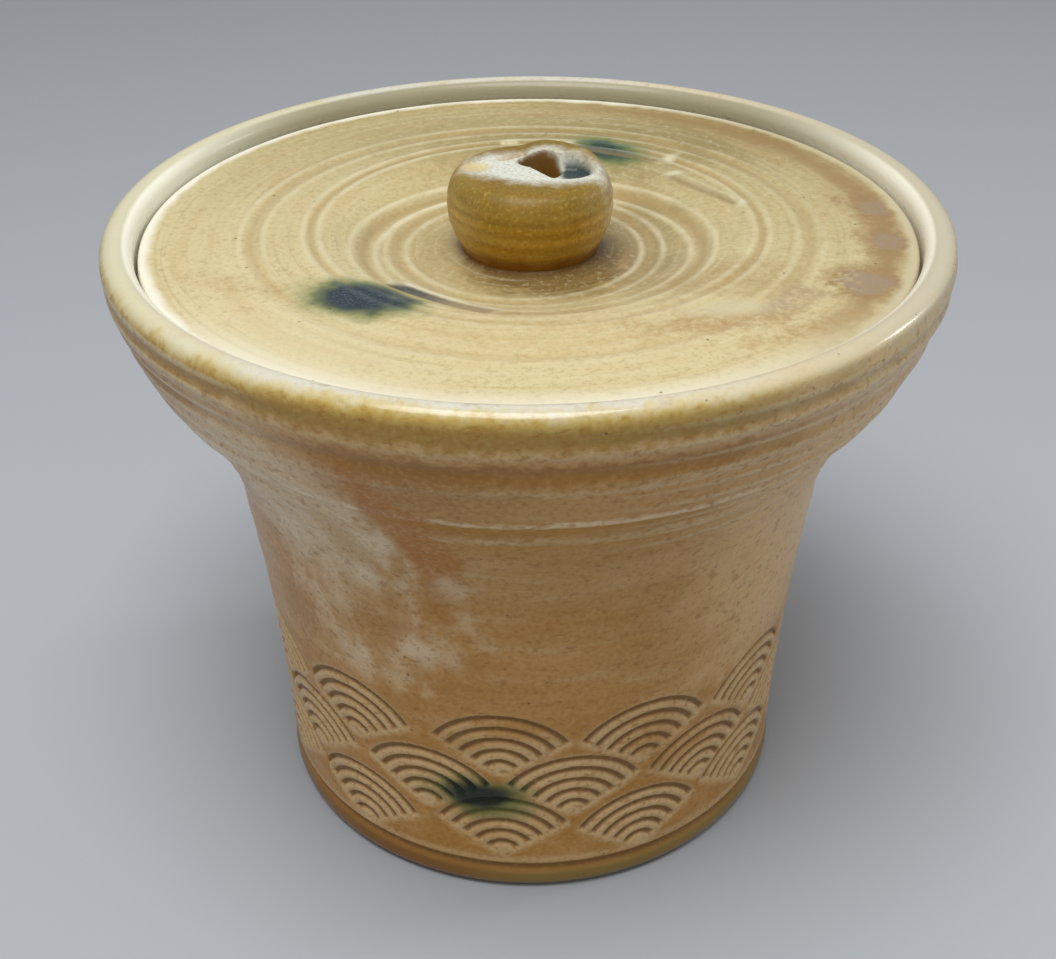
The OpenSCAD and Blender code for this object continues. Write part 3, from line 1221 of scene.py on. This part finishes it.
@dataclass(frozen=True)
class LidFinish:
    """Colours of the yellow glaze on the lid, with painted shade, painted shadow and painted highlight among
    them.
    """

    cream: Colour = (0.61, 0.52, 0.28)
    straw: Colour = (0.41, 0.335, 0.145)
    # tan glaze of the dish, with painted shade near the knob
    dish: Colour = (0.385, 0.295, 0.125)
    tan: Colour = (0.36, 0.245, 0.095)
    pale: Colour = (0.66, 0.59, 0.38)
    # painted highlight on the rounded edge, and next the same edge in painted shade for the right side
    edge: Colour = (0.80, 0.77, 0.64)
    edge_right_painted_shade: Colour = (0.55, 0.475, 0.30)
    under: Colour = (0.55, 0.44, 0.24)
    blush: Colour = (0.54, 0.38, 0.17)
    brown: Colour = (0.22, 0.14, 0.045)
    mauve: Colour = (0.31, 0.235, 0.165)
    pink: Colour = (0.38, 0.27, 0.155)
    chalk: Colour = (0.56, 0.50, 0.33)
    rust: Colour = (0.40, 0.255, 0.105)
    scorch: Colour = (0.30, 0.185, 0.07)
    bed: Colour = (0.32, 0.24, 0.155)
    # painted shade on the back of the lid
    back: Colour = (0.29, 0.225, 0.08)
    # painted shadow of the knob on its right
    painted_shade_right_of_knob: Colour = (0.30, 0.235, 0.10)
    # painted shadow of the knob at its front right
    halo: Colour = (0.16, 0.10, 0.028)
    # painted highlight on the cuts' far edges and ends
    lip: Colour = (0.64, 0.60, 0.43)
    # painted contact shadow round the knob's foot
    pooled: Colour = (0.14, 0.05, 0.01)
    iron: Colour = (0.10, 0.05, 0.02)
    navy: Colour = (0.010, 0.022, 0.042)
    navy_fringe: Colour = (0.115, 0.165, 0.04)
    teal: Colour = (0.012, 0.04, 0.028)
    teal_fringe: Colour = (0.09, 0.165, 0.05)
    frosted: Colour = (0.16, 0.22, 0.20)
    roughness: float = 0.22
    coat: float = 0.15


@dataclass
class Lid(Pottery):
    """The drop-in lid: a thrown disc with a dished middle, finger rings and three gouged cuts."""

    finish: LidFinish = LidFinish()
    marks: LidMarks = LidMarks()
    steps: int = 60
    knob: Extent = Extent.of("lid_knob")
    dish_r: float = 52.0
    dish_floor_r: float = 25.0
    hidden_r: float = 13.0
    fillet_rise: float = 1.4
    fillet_in: float = 1.6
    fillet_blur: float = 2.0
    edge_round: float = 1.3
    edge_clear: float = 1.5
    under_round: float = 1.4
    face_drop: float = 0.3
    fine_lift: float = 0.025
    fine_per_mm: float = 110.0
    fine_sway: float = 90.0

    def throw(self) -> Wheel:
        """Turns the lid.

        Returns:
            The wheel with the closed lid on it.
        """
        r, top, low = self.extent.radius, self.extent.top, self.knob.bottom
        bottom, under = self.extent.bottom, self.extent.bottom + top - low
        half = (self.dish_floor_r + self.dish_r) / 2
        lid = Outline((0.0, low)).line((self.hidden_r, low), steps=3).line((self.dish_floor_r, low), steps=20)
        lid.curve((half, low), (half, top), (self.dish_r, top), steps=46)
        lid.line((r - self.edge_round, top), steps=54).round((r, top), (r, top - self.edge_round), steps=6)
        lid.line((r, under + self.under_round), steps=2)
        lid.round((r, under), (r - self.under_round, under), steps=4).line((self.dish_r, under), steps=4)
        lid.curve((half, under), (half, bottom), (self.dish_floor_r, bottom), steps=12)
        lid.line((0.0, bottom), steps=4)
        wheel = Wheel()
        wheel.turn(lid, self.steps)
        return wheel

    def above_middle(self, maths: Maths, r: Amount, z: Amount) -> Amount:
        """Tells the lid's upper half from its lower, whether in the dish or outside it.

        Args:
            maths: What does the arithmetic.
            r: Distance from the axis.
            z: Height.

        Returns:
            1 in the upper half of the thickness and 0 below it.
        """
        low, half_slope = self.knob.bottom, (self.dish_r - self.dish_floor_r) / 2
        dish = maths.inside(self.dish_floor_r + half_slope, half_slope, r)
        middle = (self.extent.top - low) * (1.0 - dish) + (self.extent.bottom + low) / 2
        return maths.soft(-0.5, 0.5, z - middle)

    def from_knob(self, maths: Maths, x: Amount, y: Amount) -> Amount:
        """The distance of a point from the knob's middle."""
        return maths.reach(x - self.knob.middle[0], y - self.knob.middle[1])

    def shape(self, spots: np.ndarray) -> np.ndarray:
        """Presses the rings and the cuts into the top, and smooths the slip that holds the knob.

        Args:
            spots: Vertex places, one row each.

        Returns:
            The moved places.
        """
        maths = Plain()
        x, y, z = spots.T
        r = maths.reach(x, y)
        trough, ridge = self.marks.turned(maths, x, y)
        bed = self.marks.cut(maths, x, y)[0]
        level = self.marks.ridge_lift * ridge - self.marks.trough_depth * trough
        sway = maths.sine(maths.bearing(x, -y)) * self.fine_sway
        fine = maths.sine(r * self.fine_per_mm + sway) * self.fine_lift
        slip = maths.inside(self.knob.radius - self.fillet_in, self.fillet_blur, self.from_knob(maths, x, y))
        level = level * (1.0 - bed) - self.marks.gouge_depth * bed + fine
        level = level + slip * self.fillet_rise - self.face_drop
        within = maths.inside(self.extent.radius - self.edge_clear, self.edge_clear, r)
        face = self.above_middle(maths, r, z) * within
        face = face * maths.soft(self.hidden_r - 1.0, self.hidden_r, r)
        return np.stack([x, y, np.minimum(z + level * face, self.extent.top)], axis=1)

    def shade_and_stain_patches(self) -> list[Patch]:
        """Broad darker places, under the texture of the rest: painted shade over the back of the lid, painted
        shadow of the knob on its right and front, and one tan stain.

        Returns:
            The darker places, in the order that they lie on each other.
        """
        f = self.finish
        return [
            # painted shade: the back right of the lid darker
            Patch(Blot(26.0, 53.0, 48.0, 18.0), f.back, 1.0, 12.0, 8.0),
            # painted shadow of the knob on its right
            Patch(Blot(26.5, 2.0, 8.5, 32.0), f.painted_shade_right_of_knob, 0.9, 5.0, 5.0),
            Patch(Blot(40.0, -28.0, 14.0, 9.0), f.tan, 0.65, 6.0, 6.0),
            # painted shadow of the knob at its front right
            Patch(Blot(5.0, -10.0, 19.0, 18.0), f.halo, 0.95, 5.0, 4.0),
        ]

    def patches(self) -> list[Patch]:
        """Places where the fire marked the lid, in its plan, and painted light at the front left.

        Returns:
            The patches, in the order that they lie on each other.
        """
        f = self.finish
        return [
            Patch(Blot(38.0, -50.0, 18.0, 3.5, 10.0), f.rust, 0.7, 2.0, 5.0),
            Patch(Blot(57.0, -52.0, 12.0, 2.5, 30.0), f.rust, 0.7, 2.0, 4.0),
            Patch(Blot(42.0, -43.0, 9.0, 3.5, 10.0), f.chalk, 0.8, 2.0, 4.0),
            Patch(Blot(54.5, -39.5, 8.0, 4.5, 30.0), f.pink, 0.7, 2.5, 6.0),
            Patch(Blot(35.2, 41.0, 4.8, 1.5, 50.0), f.pale, 0.8, 0.8, 1.5),
            Patch(Blot(-63.0, -31.0, 14.0, 3.0, -20.0), f.rust, 0.35, 2.5, 4.0),
            # painted light: the lid brighter at the front left
            Patch(Blot(-45.0, -62.0, 24.0, 12.0, -35.0), f.pale, 0.4, 8.0, 8.0),
            Patch(Blot(4.0, -58.0, 26.0, 6.0, 0.0), f.blush, 0.4, 5.0, 8.0),
            Patch(Blot(8.0, -46.0, 30.0, 7.0, 0.0), f.rust, 0.15, 5.0, 8.0),
            Patch(Blot(4.0, 74.0, 9.0, 1.6, 0.0), f.rust, 0.7, 1.5, 2.0),
            Patch(Blot(-4.6, 53.0, 2.2, 1.8, 0.0), f.pale, 0.9, 0.6, 1.0),
            Patch(Blot(79.0, 9.0, 6.0, 8.0), f.scorch, 0.8, 3.0, 6.0),
            Patch(Blot(79.0, -11.0, 6.0, 9.0), f.scorch, 0.9, 3.0, 6.0),
            Patch(Blot(71.5, -32.5, 8.5, 9.0), f.scorch, 0.8, 3.0, 6.0),
            Patch(Blot(80.0, 9.0, 3.0, 4.0), f.mauve, 0.6, 1.6, 5.0),
            Patch(Blot(79.0, -10.5, 3.5, 5.0), f.mauve, 0.75, 1.6, 5.0),
            Patch(Blot(71.5, -32.0, 5.0, 5.5), f.mauve, 0.85, 1.6, 5.0),
        ]

    def splashes(self) -> list[Splash]:
        """The two drops of copper glaze, one in front of the knob and one behind it.

        Returns:
            The splashes, the front one first.
        """
        f = self.finish
        return [
            Splash(Blot(-34.6, -37.6, 12.0, 8.6, -16.0), f.navy, f.navy_fringe, 3.2, 0.5),
            Splash(Blot(19.5, 47.0, 9.0, 6.5, -35.0), f.teal, f.teal_fringe, 3.2, 0.4),
        ]

    def glaze(self, bench: Bench) -> None:
        """Mixes the lid's yellow glaze.

        Args:
            bench: Where the nodes go.
        """
        b, f = bench, self.finish
        x, y = b.x, b.y
        r = b.reach(x, y)
        turned = b.vector(x / r * 28.0, y / r * 28.0, r)
        cloud = b.noise(30.0, 3.0)
        thrown = b.noise(3.4, 3.0, (0.14, 0.14, 2.6), turned)
        blush = b.noise(8.0, 3.0, (0.6, 0.6, 1.5), turned)
        ruffle = b.noise(6.0, 4.0)
        grain = b.noise(1.3, 3.0)
        trough, ridge = self.marks.turned(b, x, y)
        bed, dark, lip = self.marks.cut(b, x, y)
        right = b.soft(20.0, 60.0, x + y * 0.35)
        face = self.above_middle(b, r, b.z)

        # straw glaze towards the back and right, with painted shade there as well
        colour = b.mix(b.soft(-80.0, 110.0, x * 0.35 + y + b.stray(cloud, 60.0)), f.cream, f.straw)
        # tan glaze in the dish, with painted shade near the knob
        colour = b.mix(b.inside(28.0, 9.0, r) * 0.85, colour, f.dish)
        # painted shade and shadow, and one tan stain
        for dark_patch in self.shade_and_stain_patches():
            colour = b.mix(dark_patch.mask(b, x, y, ruffle), colour, dark_patch.colour)
        round_knob = self.from_knob(b, x, y) + b.stray(ruffle, 3.0)
        scorch = b.hump(6.5, r - 80.5 + b.stray(ruffle, 8.0)) * right
        colour = b.laid(
            colour,
            (b.soft(0.5, 0.72, thrown) * 0.3, f.tan),
            (b.soft(0.52, 0.75, 1.0 - thrown) * 0.28, f.pale),
            (b.soft(0.52, 0.7, blush) * 0.35, f.blush),
            (b.soft(0.5, 0.72, grain) * 0.26, f.brown),
            (b.soft(0.52, 0.72, 1.0 - grain) * 0.26, f.pale),
            (b.soft(0.55, 0.72, b.noise(0.8, 2.0)) * 0.35, f.rust),
            (trough * 0.65, f.tan),
            # painted highlight on the raised ring edges, weaker on the right
            (ridge * (b.soft(0.3, 0.7, ruffle) * 0.4 + 0.5 - right * 0.25), f.pale),
            # painted contact shadow round the knob's foot
            (b.inside(self.knob.radius - 2.0, 1.8, round_knob) * 0.7, f.pooled),
            (scorch * 0.85, f.scorch),
        )
        grainy = b.soft(0.3, 0.65, grain) * 0.7 + 0.45
        for patch in self.patches():
            colour = b.mix(patch.mask(b, x, y, ruffle) * grainy, colour, patch.colour)
        for splash in self.splashes():
            colour = splash.lay(b, colour, x, y, ruffle)
            pooled = b.inside(0.0, 2.0, splash.blot.beyond(b, x, y))
            colour = b.mix(pooled * ridge * 0.3, colour, f.frosted)
        burnt = b.mix(b.soft(-12.0, -24.0, x) * b.soft(0.0, -10.0, y), f.bed, f.navy)
        # painted highlight on the rounded edge, turning to painted shade on the right
        edge = b.mix(b.soft(10.0, 75.0, x), f.edge, f.edge_right_painted_shade)
        # painted highlight near the front edge
        painted_front_highlight = b.soft(76.0, 85.0, r) * b.soft(-35.0, -75.0, y) * 0.75
        colour = b.laid(
            colour,
            (b.least(bed, 1.0) * (grain * 0.5 + 0.65), burnt),
            (dark * 0.7, f.brown),
            # painted highlight along the far edge and at the ends of each cut
            (lip * 0.85, f.lip),
            # painted highlight on the edge band and near the front edge
            (b.most(b.soft(83.6, 86.0, r + b.stray(ruffle, 2.0)), painted_front_highlight), edge),
        )
        colour = b.mix(face, f.under, colour)
        colour = b.mix(b.specks(5.0, 0.45, 0.3) * 0.7, colour, f.iron)

        roughness = cloud * 0.16 + bed * 0.2 + f.roughness
        b.fired(colour, roughness, thrown * 0.06 + grain * 0.04, face * f.coat)


@dataclass(frozen=True)
class KnobTop:
    """The pinched top of the knob: a leaf-shaped hollow, the hole and pool in it, a seam and a thumb mark."""

    deep_end: Point = (8.0, 1.3)
    deep_r: float = 7.1
    sharp_end: Point = (1.6, 4.8)
    sharp_r: float = 3.6
    plateau_drop: float = 1.5
    rim_from: Point = (-3.0, 3.0)
    rim_to: Point = (4.0, 10.0)
    pool_drop: float = 4.3
    hole: Blot = Blot(2.3, 4.9, 4.9, 3.9)
    hole_depth: float = 5.0
    pool: Blot = Blot(10.6, 3.8, 3.6, 4.6)
    seam_start: Point = (-6.4, 6.6)
    seam_end: Point = (-1.6, 9.4)
    seam_half_w: float = 1.7
    seam_depth: float = 1.2
    thumb: Blot = Blot(-12.2, 2.0, 3.2, 2.6)
    milky: Blot = Blot(1.5, 0.8, 16.0, 9.2, -10.0)
    thumb_depth: float = 0.6

    @staticmethod
    def run(maths: Maths, x: Amount, y: Amount, start: Point, end: Point) -> tuple[Amount, Amount]:
        """Measures a point against a straight run.

        Args:
            maths: What does the arithmetic.
            x: Place to the right.
            y: Place to the back.
            start: Where the run starts.
            end: Where it ends.

        Returns:
            The share of the run that lies before the point, and the distance from the run.
        """
        side, back = end[0] - start[0], end[1] - start[1]
        share = ((x - start[0]) * side + (y - start[1]) * back) / (side * side + back * back)
        share = maths.least(maths.most(share, 0.0), 1.0)
        return share, maths.reach(x - share * side - start[0], y - share * back - start[1])

    def beyond(self, maths: Maths, x: Amount, y: Amount) -> Amount:
        """How far a point lies outside the hollow's edge.

        Args:
            maths: What does the arithmetic.
            x: Place to the right.
            y: Place to the back.

        Returns:
            Millimetres outside the edge, negative inside.
        """
        share, away = self.run(maths, x, y, self.deep_end, self.sharp_end)
        leaf = away - self.deep_r + share * (self.deep_r - self.sharp_r)
        return maths.least(leaf, self.hole.beyond(maths, x, y))

    def seam(self, maths: Maths, x: Amount, y: Amount) -> Amount:
        """1 in the seam where the clay was folded over."""
        return maths.hump(self.seam_half_w, self.run(maths, x, y, self.seam_start, self.seam_end)[1])

    def level(self, maths: Maths, x: Amount, y: Amount) -> Amount:
        """How far the top lies below its highest place.

        Args:
            maths: What does the arithmetic.
            x: Place to the right.
            y: Place to the back.

        Returns:
            A drop in millimetres.
        """
        beyond = self.beyond(maths, x, y)
        right = maths.soft(self.rim_from[0], self.rim_to[0], x)
        back = maths.soft(self.rim_from[1], self.rim_to[1], y)
        slope = self.plateau_drop * (1.0 - right * back)
        hollow = maths.inside(-1.0, 1.4, beyond)
        pit = maths.inside(-0.9, 1.1, self.hole.beyond(maths, x, y))
        thumb = maths.inside(0.0, 1.6, self.thumb.beyond(maths, x, y))
        drop = slope + hollow * (self.pool_drop - slope) + pit * self.hole_depth
        return drop + self.seam(maths, x, y) * self.seam_depth + thumb * self.thumb_depth


@dataclass(frozen=True)
class KnobFinish:
    """Colours of the glaze on the knob, milky where it ran thick on the top, with painted light and shade on
    its side.
    """

    amber: Colour = (0.28, 0.145, 0.004)
    amber_low_painted_light: Colour = (0.44, 0.225, 0.007)
    honey: Colour = (0.36, 0.22, 0.035)
    straw: Colour = (0.54, 0.385, 0.12)
    deep: Colour = (0.21, 0.07, 0.006)
    milk: Colour = (0.70, 0.73, 0.64)
    # painted shade: darkened to offset the lamp's highlight on the shoulder
    cream: Colour = (0.17, 0.115, 0.016)
    hole: Colour = (0.15, 0.07, 0.012)
    pool: Colour = (0.016, 0.032, 0.034)
    rust: Colour = (0.45, 0.27, 0.11)
    thumb: Colour = (0.62, 0.48, 0.22)
    roughness: float = 0.36
    coat: float = 0.15


@dataclass
class Knob(Pottery):
    """The knob, thrown hollow by itself, pinched shut at the top and luted to the lid."""

    finish: KnobFinish = KnobFinish()
    top: KnobTop = KnobTop()
    steps: int = 28
    foot_r: float = 15.5
    belly_up: float = 10.6
    shoulder_r: float = 14.2
    shoulder_in: float = 0.6
    shoulder_drop: float = 4.6
    belly_drop: float = 4.0
    foot_out: float = 0.9
    foot_up: float = 3.6
    foot_tuck: float = 0.2
    band_depth: float = 0.1
    band_per_mm: float = 105.0
    band_sway: float = 30.0

    def throw(self) -> Wheel:
        """Turns the knob.

        Returns:
            The wheel with the closed knob on it.
        """
        r, low, high = self.extent.radius, self.extent.bottom, self.extent.top
        belly = low + self.belly_up
        knob = Outline((0.0, high)).line((self.shoulder_r, high), steps=44)
        knob.curve((r - self.shoulder_in, high), (r, high - self.shoulder_drop), (r, belly), steps=34)
        lead, trail = (r, belly - self.belly_drop), (self.foot_r + self.foot_out, low + self.foot_up)
        knob.curve(lead, trail, (self.foot_r - self.foot_tuck, low), steps=20).line((0.0, low), steps=5)
        wheel = Wheel()
        wheel.turn(knob, self.steps)
        return wheel

    def shape(self, spots: np.ndarray) -> np.ndarray:
        """Pinches the top and leaves the finger bands on the side.

        Args:
            spots: Vertex places, one row each.

        Returns:
            The moved places.
        """
        maths = Plain()
        x, y, z = spots.T
        r, theta = maths.reach(x, y), maths.bearing(x, -y)
        low, high = self.extent.bottom, self.extent.top
        upper = maths.soft(low + 10.0, high - 1.0, z)
        side = maths.soft(low + 0.5, low + 2.0, z) * (1.0 - upper)
        bands = maths.sine((z - low) * self.band_per_mm + maths.sine(theta) * self.band_sway) - 1.0
        scale = 1.0 + bands * self.band_depth * side / np.maximum(r, 1.0)
        z = z - self.top.level(maths, x, y) * upper
        return np.stack([x * scale + self.extent.middle[0], y * scale + self.extent.middle[1], z], axis=1)

    def glaze(self, bench: Bench) -> None:
        """Mixes the knob's amber glaze with its milky top.

        Args:
            bench: Where the nodes go.
        """
        b, f = bench, self.finish
        x, y = b.x - self.extent.middle[0], b.y - self.extent.middle[1]
        up = b.z - self.extent.bottom
        ruffle = b.noise(5.0, 3.0)
        bands = b.noise(5.0, 2.0, (0.15, 0.15, 2.6))
        grain = b.noise(0.8, 3.0)
        blotches = b.noise(2.2, 3.0, (1.0, 1.0, 1.6))
        upper = b.soft(7.0, 9.0, up)
        milky = b.inside(0.0, 2.6, self.top.milky.beyond(b, x, y) + b.stray(ruffle, 6.0)) * upper
        thumb = b.inside(0.0, 1.4, self.top.thumb.beyond(b, x, y)) * upper
        hole = b.inside(0.1, 0.5, self.top.hole.beyond(b, x, y) + b.stray(ruffle, 1.5)) * upper
        pool = b.inside(0.0, 1.0, self.top.pool.beyond(b, x, y) + b.stray(ruffle, 2.0)) * upper
        pool = pool * b.inside(-1.0, 0.8, self.top.beyond(b, x, y))
        cloudy = up + b.stray(ruffle, 11.0) + b.stray(bands, 7.0)

        colour = b.laid(
            # painted light: the lower half lighter, as if lit from the lid below
            b.mix(b.soft(13.0, 6.0, up), f.amber, f.amber_low_painted_light),
            (b.soft(0.35, 0.7, bands) * 0.8, f.honey),
            # painted light: paler towards the left and right flanks
            (b.soft(8.0, 17.0, b.size(x) + b.stray(ruffle, 6.0)) * 0.65, f.straw),
            # painted shade: a darker band below the top, offsetting the lamp's highlight there
            (b.soft(10.0, 20.0, cloudy) * 0.75, f.cream),
            (b.soft(0.5, 0.72, grain) * 0.35, f.deep),
            (b.soft(0.52, 0.72, 1.0 - grain) * 0.3, f.straw),
            (b.soft(0.52, 0.72, blotches) * 0.45, f.amber),
            (milky * 0.92, b.mix(b.soft(0.45, 0.7, grain) * 0.35, f.milk, f.cream)),
            (self.top.seam(b, x, y) * upper * 0.8, f.rust),
            (thumb * 0.8, f.thumb),
            (hole, f.hole),
            (pool * 0.97, f.pool),
            # darker band round the foot: darker glaze with painted shade under the belly
            (b.inside(3.2, 2.2, up + b.stray(ruffle, 3.0)) * 0.9, f.deep),
            (b.specks(3.0, 0.3, 0.3) * 0.5, f.deep),
        )

        roughness = ruffle * 0.16 + pool * 0.15 - milky * 0.14 + f.roughness
        b.fired(colour, roughness, bands * 0.12 + grain * 0.06, milky * f.coat)


@dataclass(frozen=True)
class Lamp:
    """A square soft lamp, aimed at the middle of the jar."""

    name: str
    place: Triple
    width: float
    watts: float

    def hang(self, target: Vector) -> None:
        """Adds the lamp to the scene.

        Args:
            target: What it is aimed at, in metres.
        """
        light = bpy.data.lights.new(self.name, "AREA")
        light.size = self.width
        light.energy = self.watts
        lamp = bpy.data.objects.new(self.name, light)
        lamp.location = self.place
        lamp.rotation_euler = (target - Vector(self.place)).to_track_quat("-Z", "Y").to_euler()
        bpy.context.scene.collection.objects.link(lamp)


@dataclass(frozen=True)
class Studio:
    """A pale floor, soft light from above and the camera, which stands where the photograph was taken."""

    floor_r: float = 6.0
    floor_colour: Colour = (0.43, 0.455, 0.49)
    floor_sides: int = 96
    floor_roughness: float = 0.9
    sky_colour: Colour = (1.0, 1.0, 1.0)
    sky_strength: float = 0.36
    near_clip: float = 0.01
    stand_off: float = 318.8
    eye_z: float = 282.2
    look_down: float = 32.76
    roll: float = -0.35
    focal_px: float = 1500.0
    axis_px: float = 530.0
    image_w: float = 1056.0
    lamps: tuple[Lamp, ...] = (
        Lamp("overhead", (-0.1, -0.25, 1.05), 0.6, 9.0),
        Lamp("window", (1.0, 0.3, 0.55), 0.2, 1.5),
    )

    def lay_floor(self) -> None:
        """Lays a round pale floor under the jar."""
        bm = bmesh.new()
        bmesh.ops.create_circle(bm, cap_ends=True, segments=self.floor_sides, radius=self.floor_r)
        mesh = bpy.data.meshes.new("floor")
        bm.to_mesh(mesh)
        bm.free()
        material = bpy.data.materials.new("pale_floor")
        material.use_nodes = True
        bench = Bench(material.node_tree)
        inputs = {"Base Color": (*self.floor_colour, 1.0), "Roughness": self.floor_roughness}
        shader = bench.node("ShaderNodeBsdfPrincipled", inputs=inputs)
        bench.node("ShaderNodeOutputMaterial", inputs={"Surface": shader.outputs[0]})
        mesh.materials.append(material)
        floor = bpy.data.objects.new("floor", mesh)
        bpy.context.scene.collection.objects.link(floor)

    def light(self) -> None:
        """Hangs the lamps and sets an even pale sky."""
        target = Vector((0.0, 0.0, (CAD_LOW.z + CAD_HIGH.z) / 2))
        for lamp in self.lamps:
            lamp.hang(target)
        world = bpy.data.worlds.new("studio")
        bpy.context.scene.world = world
        world.use_nodes = True
        bench = Bench(world.node_tree)
        inputs = {"Color": (*self.sky_colour, 1.0), "Strength": self.sky_strength}
        sky = bench.node("ShaderNodeBackground", inputs=inputs)
        bench.node("ShaderNodeOutputWorld", inputs={"Surface": sky.outputs[0]})

    def set_camera(self) -> None:
        """Stands the camera where the photograph was taken."""
        lens = bpy.data.cameras.new("camera")
        lens.lens = lens.sensor_width * self.focal_px / self.image_w
        lens.shift_x = 0.5 - self.axis_px / self.image_w
        lens.clip_start = self.near_clip
        camera = bpy.data.objects.new("camera", lens)
        tilt = Matrix.Rotation(math.radians(90.0 - self.look_down), 4, "X")
        roll = Matrix.Rotation(math.radians(self.roll), 4, "Z")
        camera.matrix_world = Matrix.Translation((0.0, -self.stand_off * MM, self.eye_z * MM)) @ tilt @ roll
        bpy.context.scene.collection.objects.link(camera)
        bpy.context.scene.camera = camera


def main() -> None:
    """Makes the pieces in order, then the studio."""
    logging.basicConfig(level=logging.INFO, format="%(message)s")
    bpy.context.scene.view_settings.view_transform = "Standard"
    jar = Jar("thrown_jar", "jar_body", Body.JAR, "jar_glaze")
    lid = Lid("thrown_lid", "lid_plate", Body.LID, "lid_glaze")
    knob = Knob("pinched_knob", "lid_knob", Body.LID, "knob_glaze")
    for pottery in (jar, lid, knob):
        piece = pottery.make()
        log.info("%s: %d faces for %s", piece.name, len(piece.data.polygons), pottery.node)
    studio = Studio()
    studio.lay_floor()
    studio.light()
    studio.set_camera()


if __name__ == "__main__":
    main()
